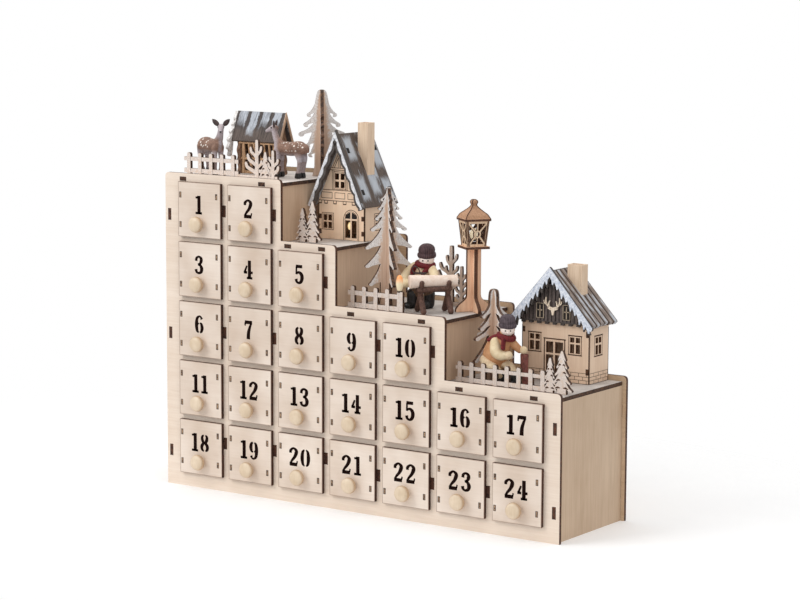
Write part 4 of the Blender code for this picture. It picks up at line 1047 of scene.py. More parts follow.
def cap_lobes(part, ripple):
    """Make a cap less even: its radius swells by a few slow waves round the axis, as in
    r * (1 + ripple * (sin(3a + 1) + sin(5a + 2 + height / 3)))."""
    verts, faces = part
    verts = np.array(verts)
    angle = np.arctan2(verts[:, 1], verts[:, 0])
    swell = 1 + ripple * (np.sin(3 * angle + 1) + np.sin(5 * angle + 2 + verts[:, 2] / 3))
    verts[:, :2] *= swell[:, None]
    return verts, faces


def head(name, spot, look, tilt, knit_dark, knit_light, size, drop):
    """A head whose cap brim is at spot, looking along `look` degrees and tilted down. drop
    lowers the face below the brim, so that more of it shows."""
    facing, droop = math.radians(look), math.radians(tilt)
    ahead = np.array([math.cos(facing) * math.cos(droop), math.sin(facing) * math.cos(droop),
                      -math.sin(droop)])
    across = np.array([-math.sin(facing), math.cos(facing), 0.0])
    axes = np.array([ahead, across, np.cross(ahead, across)]) * size

    def set_up(*parts):
        """Turn parts to where the head looks and set them at spot."""
        return [moved(tipped(part, axes), *spot) for part in parts]

    cap = set_up(cap_lobes(turned(CAP_PROFILE, 64), 0.022), egg((0, 0, -1.0), (6.8, 6.8, 3.0)))
    face = set_up(egg((1.6, 0, -4.0 - drop), (6.9, 6.9, 6.0), 36, 20),
                  egg((8.3, 0, -5.4 - drop), (0.7, 0.8, 0.7), 14, 10))
    eyes = set_up(*[egg((8.0, side * 2.3, -3.7 - drop), (0.5, 0.75, 0.75), 12, 8)
                    for side in (-1, 1)])
    wool = knitted(name + " cap wool", knit_dark, knit_light, *spot[:2])
    build(name + "_cap", cap, wool, **CREAM)
    build(name + "_face", face, SKIN, **CREAM)
    build(name + "_eyes", eyes, BLACK_ENAMEL, **CREAM)


print("the cap's profile has", len(CAP_PROFILE), "points")

# %% [markdown]
# ## The woodcutter
# The woodcutter stands behind a log on a sawhorse of crooked sticks and works a bow saw.
# Coat and sleeves are separate bodies, overlapped where cloth would meet cloth. Each limb is
# a tube along a few points, counted from one spot by the figure's feet.


# %% Limbs and scarves
def counted_from(x, y, z):
    """A function that moves points, counted from (x, y, z), to their place on the case."""
    def place(*points):
        """Each point may carry widths after its x, y and z."""
        return [(x + p[0], y + p[1], z + p[2]) + tuple(p[3:]) for p in points]
    return place


def limbs(place, *lines, around=24):
    """One tube along each line of points."""
    return [tube(place(*line), around) for line in lines]


def scarf_roll(place, centre, radii, tilt, size):
    """The roll of a scarf round a neck: centre + (a cos t, b sin t, -tilt cos t)."""
    (x, y, z), (a, b) = centre, radii
    ring = [(x + a * math.cos(t), y + b * math.sin(t), z - tilt * math.cos(t), *size)
            for t in np.linspace(0, 2 * np.pi, 13)]
    return tube(place(*ring), 18, 60, caps=False)


LOG_SPOT, STUMP_SPOT = (255.4, 37.8, STEP_3), (322.0, 33.4, LOW_STEP)
by_the_log, by_the_stump = counted_from(*LOG_SPOT), counted_from(*STUMP_SPOT)
print("the log lies", round(STUMP_SPOT[0] - LOG_SPOT[0], 1), "mm to the left of the stump")

# %% Woodcutter
build("woodcutter_coat", limbs(
    by_the_log, [(-22.4, 17.9, 21.0, 9.4, 7.8), (-22.2, 17.7, 26.0, 10.2, 8.2),
                 (-21.6, 17.2, 32.0, 9.4, 7.4), (-20.6, 16.9, 37.0, 6.4, 5.6)], around=36),
      CREAM_COAT, replaces="woodcutter", **CREAM)
build("woodcutter_sleeves", limbs(
    by_the_log,
    [(-29.0, 14.6, 35.0, 3.6), (-32.4, 10.4, 30.0, 4.2), (-32.6, 4.6, 25.0, 4.4),
     (-28.6, -0.6, 22.4, 4.0)],
    [(-28.6, -0.4, 22.6, 4.0), (-24.0, -3.4, 22.8, 3.4), (-20.4, -4.8, 24.2, 2.8)],
    [(-13.6, 16.4, 34.4, 3.8), (-7.6, 11.4, 30.6, 3.8), (-3.4, 6.2, 28.6, 3.2)]),
      SLEEVE_PAINT, **CREAM)
build("woodcutter_hands", [egg(spot, (2.8, 2.8, 2.8)) for spot in
                           by_the_log((-18.8, -5.2, 25.6), (-1.4, 4.4, 28.4))], HAND_PAINT, **CREAM)
# The trousers' dark brown is partly their own colour and partly painted shade, filling the shaded
# space under the coat's hem.
build("woodcutter_trousers", limbs(
    by_the_log, [(-26.0, 16.4, 22.0, 5.6), (-29.0, 14.6, 13.4, 4.6), (-30.2, 13.4, 9.0, 4.2)],
    [(-19.2, 18.0, 22.0, 5.8), (-18.8, 20.4, 13.4, 4.6), (-18.6, 21.2, 9.0, 4.2)]),
      bark("woodcutter trousers with painted shade", (74, 54, 40), (126, 98, 76)), **CREAM)
build("woodcutter_boots", limbs(
    by_the_log, [(-30.4, 13.4, 12.0, 4.8), (-30.6, 13.2, 3.4, 4.4)],
    [(-30.4, 13.6, 3.2, 3.8, 2.9), (-32.2, 7.4, 2.6, 4.0, 2.4)],
    [(-18.6, 21.2, 12.0, 4.8), (-18.6, 21.2, 3.4, 4.4)],
    [(-18.6, 21.0, 3.2, 3.8, 2.9), (-18.0, 15.0, 2.6, 4.0, 2.4)]), BLACK_ENAMEL, **CREAM)
build("woodcutter_scarf",
      [scarf_roll(by_the_log, (-19.3, 16.0, 37.2), (7.0, 6.6), 0.9, (2.0, 2.5))]
      + limbs(by_the_log,
              [(-25.0, 12.0, 36.6, 2.8, 1.6), (-26.8, 9.2, 33.0, 3.2, 1.5),
               (-26.8, 8.0, 28.8, 3.0, 1.2)],
              [(-13.0, 13.4, 34.6, 2.2, 1.8), (-15.6, 9.8, 32.0, 2.2, 1.5),
               (-16.8, 8.4, 29.2, 2.0, 1.2)],
              around=16), RED_WOOL, **CREAM)
head("woodcutter", by_the_log((-17.4, 15.4, 46.4))[0], -66.0, 8.0, (44, 28, 32), (92, 66, 68),
     0.93, 0.9)
print("the woodcutter is dressed")

# %% [markdown]
# The log lies askew on the step, so its sawhorse is laid out along the log and across it.
# Two rails run along the log, and two pairs of crooked legs cross under it.

# %% Log, sawhorse and saw
ALONG, ACROSS = np.array([0.7, 0.714, 0.0]), np.array([0.77, -0.64, 0.0])


def by_log_axis(along, across, height):
    """A point so far along the log, across it and above the step."""
    return np.array(LOG_SPOT) + ALONG * along + ACROSS * across + [0, 0, height]


def stick(start, end, r0, r1, bend=0.0):
    """A crooked stick: its middle is pushed sideways by bend."""
    middle = (start + end) / 2 + ACROSS * bend
    return tube([(*start, r0, r0), (*middle, (r0 + r1) / 2, (r0 + r1) / 2), (*end, r1, r1)], 16, 14)


log_line = [(*by_log_axis(along, 0, height), *size) for along, height, size in (
    (-20.4, 26.0, (5.8, 5.6)), (-12.0, 26.2, (5.5, 5.3)), (6.0, 26.2, (5.0, 4.9)),
    (19.6, 26.4, (5.0, 4.9)))]
build("sawn_log", [tube(log_line, 36, 30, caps=False)], LOG_WOOD, smooth=50, slot="cream_cloth")
trestle = [stick(by_log_axis(-13, 3.4, 19.4), by_log_axis(13, 3.4, 20.4), 2.2, 2.0, 0.6),
           stick(by_log_axis(-13, -3.0, 18.6), by_log_axis(13, -3.0, 18.2), 1.8, 1.7)]
for share in (-11.0, 12.0):
    for side, bend in ((-1, 1.4), (1, -1.6)):
        trestle.append(stick(by_log_axis(share, side * 9.0, 2.0),
                             by_log_axis(share + side * 0.4, -side * 5.6, 25.4), 2.5, 2.1, bend))
build("sawhorse", trestle, STICK_BARK, **CREAM)
BOW = [(-21.6, 3.0, 30.6, 0.5), (-23.2, 2.4, 34.4, 0.5), (-21.4, 3.4, 36.6, 0.5),
       (-18.6, 5.0, 34.4, 0.5), (-17.4, 5.6, 30.6, 0.5)]
BLADE = ((-22.0, 2.6), (-12.4, 7.6), (-12.5, 8.0), (-22.1, 3.0))
blade = [by_the_log(*[(u, v, height) for u, v in BLADE]) for height in (30.2, 31.8)]
build("bow_saw", [tube(by_the_log(*BOW), 12, 30), skin(blade)], EAR_PAINT, smooth=50,
      slot="cream_cloth")
print("sawhorse of", len(trestle), "sticks")

# %% [markdown]
# ## The seated figure
# The second figure sits on a stump in an orange coat and reaches over a chopping block.

# %% Seated figure
build("seated_coat", limbs(
    by_the_stump, [(-3.6, 1.4, 15.0, 9.6, 8.0), (-3.2, 1.2, 21.0, 11.6, 8.8),
                   (-0.4, 0.6, 29.0, 10.6, 8.0), (4.6, -0.2, 36.6, 7.6, 6.4),
                   (7.4, -0.6, 41.0, 5.0, 4.6)], around=36),
      ORANGE_COAT, replaces="seated_figure", **TAN)
build("seated_sleeves", limbs(
    by_the_stump, [(0.6, -5.4, 34.6, 4.2), (3.2, -8.2, 28.0, 5.0), (7.4, -8.6, 25.0, 4.2),
                   (11.2, -7.4, 24.8, 3.4)]), SLEEVE_PAINT, **TAN)
build("seated_far_sleeve", limbs(
    by_the_stump, [(8.6, 2.4, 37.6, 3.4), (13.6, 3.6, 32.0, 3.4), (17.6, 4.4, 28.8, 2.9)]),
      ORANGE_COAT, **TAN)
near_hand, far_hand = by_the_stump((13.6, -6.4, 25.2), (21.0, 5.0, 28.6))
build("seated_hands", [egg(near_hand, (3.7, 3.6, 3.6)), egg(far_hand, (3.3, 3.3, 3.3))],
      HAND_PAINT, **TAN)
build("seated_trousers", limbs(
    by_the_stump,
    [(-10.6, -4.0, 19.0, 4.0), (-5.0, -6.6, 15.4, 4.6), (2.8, -7.4, 12.0, 4.0),
     (5.8, -6.2, 8.0, 3.5)],
    [(2.0, 1.4, 16.6, 4.2), (10.0, 0.6, 15.4, 3.9), (14.6, -1.2, 11.4, 3.5),
     (15.6, -1.8, 7.0, 3.3)]),
      TROUSERS, **TAN)
build("seated_boots", limbs(
    by_the_stump, [(6.0, -5.0, 9.0, 3.9), (6.2, -4.6, 3.0, 3.6)],
    [(6.4, -4.2, 2.9, 3.0, 2.4), (6.4, -8.0, 2.4, 2.9, 2.1)],
    [(15.8, -1.6, 9.0, 3.9), (16.2, -1.8, 3.0, 3.6)],
    [(16.4, -1.6, 2.9, 3.0, 2.4), (17.0, -6.4, 2.4, 2.9, 2.1)]), BLACK_ENAMEL, **TAN)
build("seated_scarf",
      [scarf_roll(by_the_stump, (8.2, -1.0, 39.4), (6.4, 5.8), 1.4, (1.9, 2.4))]
      + limbs(by_the_stump,
              [(2.6, -3.2, 39.6, 2.2, 1.9), (-2.0, -4.6, 38.0, 2.2, 1.6),
               (-6.6, -5.0, 35.8, 1.4, 1.1)],
              [(9.4, -6.6, 39.0, 2.7, 1.4), (10.4, -8.8, 34.6, 3.0, 1.3),
               (10.8, -9.8, 30.4, 2.8, 1.0)],
              around=16), RED_WOOL, **TAN)
print("the second figure is dressed")

# %% Stumps
SEAT = [(0.02, 16.4), (5.9, 16.4), (6.1, 15.6), (5.8, 9.0), (6.1, 3.0), (6.6, 0.1), (0.02, 0.1)]
CHOPPING_BLOCK = [(0.02, 25.4), (3.2, 25.4), (3.4, 24.8), (3.1, 14.0), (3.4, 3.0), (3.7, 0.1),
                  (0.02, 0.1)]
seat_spot, block_spot = by_the_stump((0.0, 2.6, 0.0), (21.6, 5.6, 0.0))
build("seated_stumps", [moved(turned(SEAT, 30), *seat_spot),
                        moved(turned(CHOPPING_BLOCK, 26), *block_spot)],
      STUMP_BARK, smooth=50, slot="tan_cloth")
head("seated", by_the_stump((9.8, -1.4, 50.0))[0], -56.0, 8.0, (50, 40, 46), (100, 86, 92),
     0.87, 0.8)
print("the second figure sits by the chalet")

# %% [markdown]
# ## Flat cut shapes
# Much of the village is flat ply cut to an outline. Such a shape is the same closed line
# twice, at the front and at the back of the board, with the edge running between. The
# outline may be given in front view, seen along Y, or in side view, seen along X. A pen
# draws thin burnt lines on a wall, counted from the middle of the wall's foot.


# %% Cut boards and pens
def board(outline, near, far, view="front"):
    """A flat board: the outline's (u, v) points at depth near and again at depth far.
    Front view puts u along X and depth along Y, side view puts u along Y and depth along X."""
    line = np.asarray(outline, float)
    rings = []
    for depth in (near, far):
        level = np.full(len(line), float(depth))
        columns = (line[:, 0], level) if view == "front" else (level, line[:, 0])
        rings.append(np.column_stack([*columns, line[:, 1]]))
    return skin(rings)


def sheet(x0, x1, z0, z1, near, far):
    """A rectangular board in front view."""
    return board([(x0, z0), (x1, z0), (x1, z1), (x0, z1)], near, far)


def pen(x, z, near, far):
    """A pen whose lines are counted from (x, z) and lie between the depths near and far."""
    def line(*points, width=0.55):
        """One burnt line through the points."""
        return stroke([(x + u, z + v, width) for u, v in points], near, far)
    return line


def frame_lines(line, x0, x1, z0, z1, width):
    """Four strokes of a pen round a rectangle."""
    h = width / 2
    ends = [((x0 - h, z0), (x1 + h, z0)), ((x0 - h, z1), (x1 + h, z1)),
            ((x0, z0), (x0, z1)), ((x1, z0), (x1, z1))]
    return [line(*pair, width=width) for pair in ends]


def sideways(part, x):
    """A part drawn in front view about depth 0, swung to the right-hand side wall at x: its
    old X runs along Y and its old depth points out of the wall."""
    verts, faces = part
    verts = np.asarray(verts)
    return np.column_stack([x - verts[:, 1], verts[:, 0], verts[:, 2]]), faces


print("a sheet has", len(sheet(0, 1, 0, 1, 0, 1)[1]), "faces")

# %% [markdown]
# ## Roof finishes
# The roofs are stained dark, then brushed with white so that streaks run down the slope.
# The white is a stretched noise, pushed up or down by broad patches, so that some parts are
# almost bare and others almost white. A few broad strokes are placed one by one.


# %% Brushed roof
def brushed_roof(name, ridge_x, slope, dark, mid, patch, cover, streak=1.1, dabs=(), ribs=None):
    """Dark stain under white brush marks. down = distance from the ridge along the slope,
    run = distance along the ridge, cover = the share of white. Each dab (run, down, half
    width, half length) is one broad brush stroke; its ends are ragged where the marks are.
    ribs = (start, step) keeps the paint to the middle of each rib and darkens its sides."""
    roof = Recipe(name)
    px, run, _ = roof.axes()
    corner = at(0, 0, 0) / MM
    down = abs(px - (corner[0] + ridge_x)) * slope
    lay = roof.node("ShaderNodeCombineXYZ", None, {0: run, 1: down, 2: 0.0})

    def drawn_out(factor):
        """The lay of the roof, squeezed down the slope."""
        return roof.node("ShaderNodeVectorMath", {"operation": "MULTIPLY"},
                         {0: lay, 1: (1.0, factor, 1.0)})

    marks = roof.noise(streak, drawn_out(0.10), 5.0, 0.7)
    patches = roof.noise(patch, drawn_out(0.42), 2.0, 0.5)
    white = (marks * 0.55 + patches * 1.1).ramp(1.02 - cover * 0.45, 1.14 - cover * 0.42)
    for at_run, at_down, half_run, half_down in dabs:
        far_off = (abs(run - (corner[1] + at_run)) * (1.0 / half_run)).most(
            abs(down - at_down) * (1.0 / half_down))
        white = white.most(1.0 - (far_off + marks * 1.3 + patches * 0.3).ramp(1.35, 1.75))
    stain = roof.mix(marks.ramp(0.3, 0.7), tint(*dark), tint(*mid))
    if ribs:
        start, step = ribs
        side = abs((run - (corner[1] + start)).wrap(step) * (2.0 / step) - 1.0)
        white = white * (1.0 - (side + marks * 0.4).ramp(0.55, 0.8))
        stain = roof.mix(side.ramp(0.6, 0.9) * 0.85, stain, tint(38, 30, 28))
    snow = roof.mix(marks, tint(150, 156, 164), tint(222, 228, 236))
    return roof.done(roof.mix(white * 0.9, stain, snow), 0.75, marks * 0.7 + white * 0.3, 0.15)


print("roof paint ready")


# %% Snow, stain, burnt lines and plain ply
def snow_paint(name, light=(240, 241, 244), dark=(186, 188, 196)):
    """Thick white paint with a cool tint, dabbed on."""
    snow = Recipe(name)
    dabs = snow.noise(2.2, None, 4.0, 0.6)
    return snow.done(snow.mix(dabs.ramp(0.3, 0.62), tint(*dark), tint(*light)), 0.7, dabs, 0.2)


def dark_stain(name, dark=(48, 42, 40), light=(92, 84, 80)):
    """Dark grey stain with the grain showing through."""
    stain = Recipe(name)
    grain = stain.noise(0.9, stain.stretched((1.0, 1.0, 0.16)), 5.0, 0.7)
    return stain.done(stain.mix(grain.ramp(0.3, 0.7), tint(*dark), tint(*light)), 0.75, grain, 0.1)


def scorch():
    """Laser-burnt line: nearly black, browner where the burn was lighter."""
    burn = Recipe("scorched line")
    depth = burn.noise(1.1, None, 3.0)
    colour = burn.mix(depth.ramp(0.35, 0.75), tint(44, 25, 14), tint(104, 66, 40))
    return burn.done(colour, 0.85, depth, 0.05)


def plain_ply(name, light, dark):
    """Pale ply with upright grain for chimneys, window bars and small ornaments."""
    ply = Recipe(name)
    grain = ply.noise(1.0, ply.stretched((1.0, 1.0, 0.05)), 5.0, 0.65)
    return ply.done(ply.mix(grain.ramp(0.3, 0.72), tint(*dark), tint(*light)), 0.65, grain, 0.05)


SCORCH, ROOF_DARK, SNOW = scorch(), dark_stain("dark roof edge"), snow_paint("snow on the eaves")
CHIMNEY_PLY = plain_ply("chimney plywood", (238, 214, 188), (212, 182, 152))
# Painted shade: the black of roof slots, window holes and the gaps behind the chalet's gable planks
# stands for the dark inside them.
OPENING_SHADE = gloss_paint("painted shade in openings", (16, 12, 10), (34, 26, 22), 0.9)
ON_ROOF, ON_WALL = {"slot": "dark_roof_stain"}, {"slot": "house_plywood"}
print("roof finishes ready")

# %% [markdown]
# ## Roof shapes
# A roof in front view is two bars that lean on each other. Its barge boards and their snow
# are bands along both slopes, with a lower edge that may be straight or wavy, so the band is
# given by how far each of its edges lies below the roof's outer line.


# %% Roof shapes
def roof_section(half, ridge, eave, thickness, centre, base):
    """Right and left halves of a roof in front view, square-cut at the eaves."""
    length = math.hypot(half, ridge - eave)
    nx, nz = (ridge - eave) / length * thickness, half / length * thickness
    drop = thickness * length / half
    right = np.array([(0.0, ridge), (half, eave), (half - nx, eave - nz), (0.0, ridge - drop)])
    left = right * [-1, 1]
    return right + [centre, base], left[::-1] + [centre, base]


def slope_band(half, apex, tip, near_edge, far_edge, centre, base, depth0, depth1):
    """A band that follows both slopes of a gable: its edges lie near_edge(s) and far_edge(s)
    below the outer line, measured square to it, for s from 0 at the apex to 1 at the tip."""
    length = math.hypot(half, apex - tip)
    s = np.linspace(0, 1, 120)
    outer = np.column_stack([half * s, apex - (apex - tip) * s])
    inward = np.array([-(apex - tip), -half]) / length
    edges = []
    for shift in (near_edge(s), far_edge(s)):
        line = outer + inward * shift[:, None]
        past = line[:, 0] < 0
        line[past] = np.column_stack([0 * shift[past], apex - shift[past] * length / half])
        edges.append(line)
    return [strip(*(line * [sign, 1] + [centre, base] for line in edges), depth0, depth1)
            for sign in (1, -1)]


def straight(distance):
    """A band's edge at an even distance below the outer line."""
    return lambda s: distance + 0 * s


def wave(count, swing, middle, phase=0.0):
    """A wavy edge: middle + swing * |sin| lobes below the outer line, count of them."""
    return lambda s: middle + swing * np.abs(np.sin(np.pi * (s * count + phase)))


def hollow_chimney(x, y, wall, foot, top, floor):
    """Four walls and a floor inside; foot gives the lowest points of the walls, left, right
    and the two between, which end below the slope."""
    (x0, x1), (y0, y1), lap = x, y, 0.1
    left, right, between = foot
    inside_x, inside_y = (x0 + wall - lap, x1 - wall + lap), (y0 + wall - lap, y1 - wall + lap)
    return [block((x0, x0 + wall), y, (left, top)), block((x1 - wall, x1), y, (right, top)),
            block(inside_x, (y0, y0 + wall), (between, top)),
            block(inside_x, (y1 - wall, y1), (between, top)),
            block(inside_x, inside_y, (between, floor))]


print("roof shapes ready")

# %% [markdown]
# ## The half-timbered house
# Steep roof boards, a chimney, and at the front a pair of barge boards: a dark board with a
# wavy lower edge and a layer of painted snow over it.

# %% House roof
HOUSE_X, HOUSE_Z, HOUSE_FRONT = 150.0, STEP_2, 53.0
HOUSE_RIDGE, HOUSE_EAVE, HALF_ROOF = 90.5, 29.7, 28.7

HOUSE_DABS = ((57.0, 14.0, 7.0, 13.0), (55.5, 50.0, 6.5, 13.0), (90.5, 20.0, 6.5, 16.0),
              (73.0, 47.0, 7.0, 12.0), (90.0, 54.0, 7.0, 13.0), (72.0, 16.0, 5.0, 8.0))
slopes = roof_section(HALF_ROOF, HOUSE_RIDGE, HOUSE_EAVE, 2.6, HOUSE_X, HOUSE_Z)
build("house_roof_boards", [board(slope, 44.0, 96.6) for slope in slopes],
      brushed_roof("house roof stain", HOUSE_X, 2.34, (52, 44, 40), (108, 92, 82), 11.0, 0.22,
                   dabs=HOUSE_DABS), replaces="house_roof", **ON_ROOF)
build("house_barge", slope_band(29.0, 94.0, 28.8, straight(0.0), wave(6.0, 1.5, 4.6, 0.15),
                                HOUSE_X, HOUSE_Z, 43.7, 47.2), ROOF_DARK, **ON_ROOF)
build("house_barge_snow", slope_band(29.0, 94.0, 28.8, straight(0.55), wave(6.0, 1.5, 2.1, 0.15),
                                     HOUSE_X, HOUSE_Z, 43.1, 43.75), SNOW, **ON_ROOF)
build("house_chimney", hollow_chimney((156.6, 166.8), (67.6, 77.8), 1.4,
                                      (276.0, 260.0, 262.0), 320.0, 312.0), CHIMNEY_PLY, **ON_ROOF)

fall = HOUSE_RIDGE - HOUSE_EAVE
down_slope = np.array([HALF_ROOF, -fall]) / math.hypot(HALF_ROOF, fall)
off_slope = np.array([-down_slope[1], down_slope[0]])
# The roof's slots are black: painted shade inside them.
slots = []
for depth, down in ((53.4, 15.7), (52.6, 53.9), (92.6, 15.4), (92.6, 53.9)):
    for sign in (1, -1):
        centre = np.array([0.0, HOUSE_RIDGE]) + down_slope * down
        ends = [(centre + down_slope * e + off_slope * h) * [sign, 1] + [HOUSE_X, HOUSE_Z]
                for e, h in ((-2.4, -0.3), (2.4, -0.3), (2.4, 0.15), (-2.4, 0.15))]
        slots.append(board(ends, depth - 1.8, depth + 1.8))
build("house_roof_slots", slots, OPENING_SHADE, **ON_ROOF)
print("house roof has", len(slots), "slots")

# %% [markdown]
# ## Lines on the house
# Window frames, timbers, the row of brackets and the arched door are only burnt lines, drawn
# here as very thin strokes that lie on the wall. Each is listed in millimetres from the
# middle of the wall's foot.

# %% Timbers of the house
house_line = pen(HOUSE_X, HOUSE_Z, HOUSE_FRONT - 0.07, HOUSE_FRONT + 0.05)
GABLE_PEAK, GABLE_SLOPE, HALF_WALL = 83.4, 2.118, 24.4
timbers = []
for height in (61.0, 59.2, 42.0, 32.8):
    reach = min((GABLE_PEAK - height) / GABLE_SLOPE, HALF_WALL)
    timbers.append(house_line((-reach, height), (reach, height)))
for x in (-9.6, -8.0, 5.0, 6.6):
    timbers.append(house_line((x, 42.0), (x, 59.2)))
for x0, x1 in ((-21.0, -9.8), (-6.8, 3.6), (6.8, 18.0)):
    timbers += frame_lines(house_line, x0, x1, 34.9, 39.8, 0.45)
for x in (-22.4, -16.2, -6.8, 3.4, 12.8, 20.6):
    timbers += [house_line((x - 1.6, 32.8), (x - 1.5, 30.2)),
                house_line((x + 1.6, 32.8), (x + 1.5, 30.2)),
                house_line((x - 1.6, 30.3), (x + 1.6, 30.3), width=0.9)]
for x in (-2.6, -0.8):
    timbers.append(house_line((x, 61.0), (x, 76.0)))
for sign in (-1, 1):
    for shift in (0.0, 1.9):
        timbers.append(house_line((-1.7 + sign * (7.6 - shift), 61.0),
                                  (-1.7 + sign * 1.6, 72.6 - shift * 1.6)))
print("timbers:", len(timbers), "lines")

# %% Windows, door and corners of the house
for x0, x1, z0, z1 in ((-20.3, -8.4, 7.9, 22.2), (-7.9, 4.5, 42.9, 57.8)):
    timbers += frame_lines(house_line, x0, x1, z0, z1, 0.5)
    timbers += frame_lines(house_line, x0 + 1.3, x1 - 1.3, z0 + 1.1, z1 - 1.1, 0.3)
DOOR_X, DOOR_SPRING, GLASS_RADIUS = 10.3, 17.6, 6.3
for radius, width in ((7.9, 0.55), (6.5, 0.35)):
    arch = [(HOUSE_X + DOOR_X + radius * math.cos(a),
             HOUSE_Z + DOOR_SPRING + (radius + 0.4) * math.sin(a), width)
            for a in np.linspace(np.pi, 0, 15)]
    timbers.append(stroke(arch, HOUSE_FRONT - 0.07, HOUSE_FRONT + 0.05, 60))
    for side in (-1, 1):
        x = DOOR_X + side * radius
        timbers.append(house_line((x, 0.0), (x, 17.8), width=width))
for side in (-1, 1):                              # finger joints at the two front corners
    timbers.append(house_line((side * 23.9, 0.0), (side * 23.9, 30.0), width=1.0))
    for z in (4.2, 17.0):
        x0, x1 = sorted((HOUSE_X + side * 20.9, HOUSE_X + side * 24.3))
        timbers.append(sheet(x0, x1, HOUSE_Z + z, HOUSE_Z + z + 4.0,
                             HOUSE_FRONT - 0.07, HOUSE_FRONT + 0.05))
wall_x = HOUSE_X + 24.5                           # the right-hand wall
side_line = pen(HOUSE_FRONT, HOUSE_Z, -0.05, 0.07)
side_lines = frame_lines(side_line, 14.0, 27.0, 8.0, 22.4, 0.5)
side_lines += [side_line((y, 0.0), (y, 30.0), width=0.9) for y in (0.4, 42.6)]
timbers += [sideways(part, wall_x) for part in side_lines]
build("house_timber_lines", timbers, SCORCH, **ON_WALL)
print("house has", len(timbers), "burnt lines")

# %% Dark panes of the house: painted shade in the window holes
panes = []
for u0, u1 in ((4.2, 9.4), (10.9, 16.1)):         # the two halves of the door's fanlight
    u = np.linspace(u1, u0, 9)
    rise = np.sqrt(np.maximum(0.0, 1 - ((u - DOOR_X) / GLASS_RADIUS) ** 2))
    curve = list(zip(u, DOOR_SPRING + GLASS_RADIUS * rise))
    edge = np.array([(u0, 18.4), (u1, 18.4)] + curve) + [HOUSE_X, HOUSE_Z]
    panes.append(board(edge, HOUSE_FRONT - 0.04, HOUSE_FRONT + 0.3))
for y0, y1 in ((15.6, 19.8), (21.2, 25.4)):
    for z0, z1 in ((9.4, 14.6), (15.8, 21.0)):
        panes.append(sideways(sheet(HOUSE_FRONT + y0, HOUSE_FRONT + y1, HOUSE_Z + z0, HOUSE_Z + z1,
                                    -0.04, 0.2), wall_x))
build("house_window_shade", panes, OPENING_SHADE, **ON_WALL)
print("house has", len(panes), "dark panes")

# %% [markdown]
# ## The chalet's roof
# A lower roof of ribbed boards, with icicles of painted snow along the gable. Each rib is a
# wedge that lies on a dark board, and its eave end sticks out a little more or less than the
# next one's. The icicles are one outline with teeth, cut twice: once in white and, a
# little longer, in dark grey behind it.

# %% Chalet roof boards
CHALET_X, CHALET_Z, CHALET_FRONT = 353.4, LOW_STEP, 71.0
HALF_SPAN, CHALET_RIDGE, DROP = 39.5, 91.7, 42.4
slopes = roof_section(HALF_SPAN, CHALET_RIDGE, CHALET_RIDGE - DROP, 3.0, CHALET_X, CHALET_Z)
SLOPE = math.hypot(HALF_SPAN, DROP)
down_slope, off_slope = np.array([HALF_SPAN, -DROP]) / SLOPE, np.array([DROP, HALF_SPAN]) / SLOPE
RIB_COUNT, RIB_START, RIB_STEP = 6, 60.9, 6.8
wobble = np.sin(np.arange(RIB_COUNT * 2) * 2.4) * 0.5
ribs = []
for k in range(RIB_COUNT):
    y = RIB_START + RIB_STEP * k
    for sign in (1, -1):
        end = SLOPE + 0.5 + wobble[k * 2 + (sign > 0)]
        line = np.array([[0.0, CHALET_RIDGE] + down_slope * e + off_slope * h for e, h in (
            (1.0, -0.3), (end, -2.4), (end, 0.55), (end - 0.8, 1.1), (1.0, 1.1))])
        ribs.append(board(line * [sign, 1] + [CHALET_X, CHALET_Z], y + 0.6, y + 6.2))
build("chalet_roof_boards", [board(slope, 60.6, 101.8) for slope in slopes],
      dark_stain("chalet roof gaps", (34, 28, 26), (66, 56, 52)), replaces="chalet_roof", **ON_ROOF)
build("chalet_roof_ribs", ribs,
      brushed_roof("chalet roof stain", CHALET_X, 1.47, (88, 74, 66), (160, 142, 130), 9.0, 0.62,
                   1.2, ribs=(RIB_START, RIB_STEP)), **ON_ROOF)
print("chalet roof has", RIB_COUNT, "ribs on each side")


# %% Icicles and chimney of the chalet
def icicles(half, apex, tip, edge, lengths, centre, base):
    """Outline of a gable band with icicles: the outer line, then back along the lower side
    in teeth that hang straight down by the given lengths."""
    count, rise = len(lengths), apex - tip
    length = math.hypot(half, rise)
    right = [(0.0, apex), (half, tip), (half + 0.1, tip - 1.6), (half - 0.8, tip - 3.0),
             (half - 2.4, tip - 3.2), (half - 3.8, tip - 1.9)]
    for k, hang in enumerate(lengths):
        s = 1 - (k + 0.75) / (count + 0.4)
        x, z = half * s, apex - rise * s - edge * length / half
        right += [(x + half / count * 0.34, z - hang * 0.1 - rise / count * 0.34),
                  (x + 0.35, z - hang), (x - 0.3, z - hang),
                  (x - half / count * 0.2, z - hang * 0.25)]
    left = [(-u, v) for u, v in right[::-1][:-1]]
    middle = [(0.0, apex - edge * length / half - 1.6)]
    return [(centre + u, base + v) for u, v in right + middle + left]


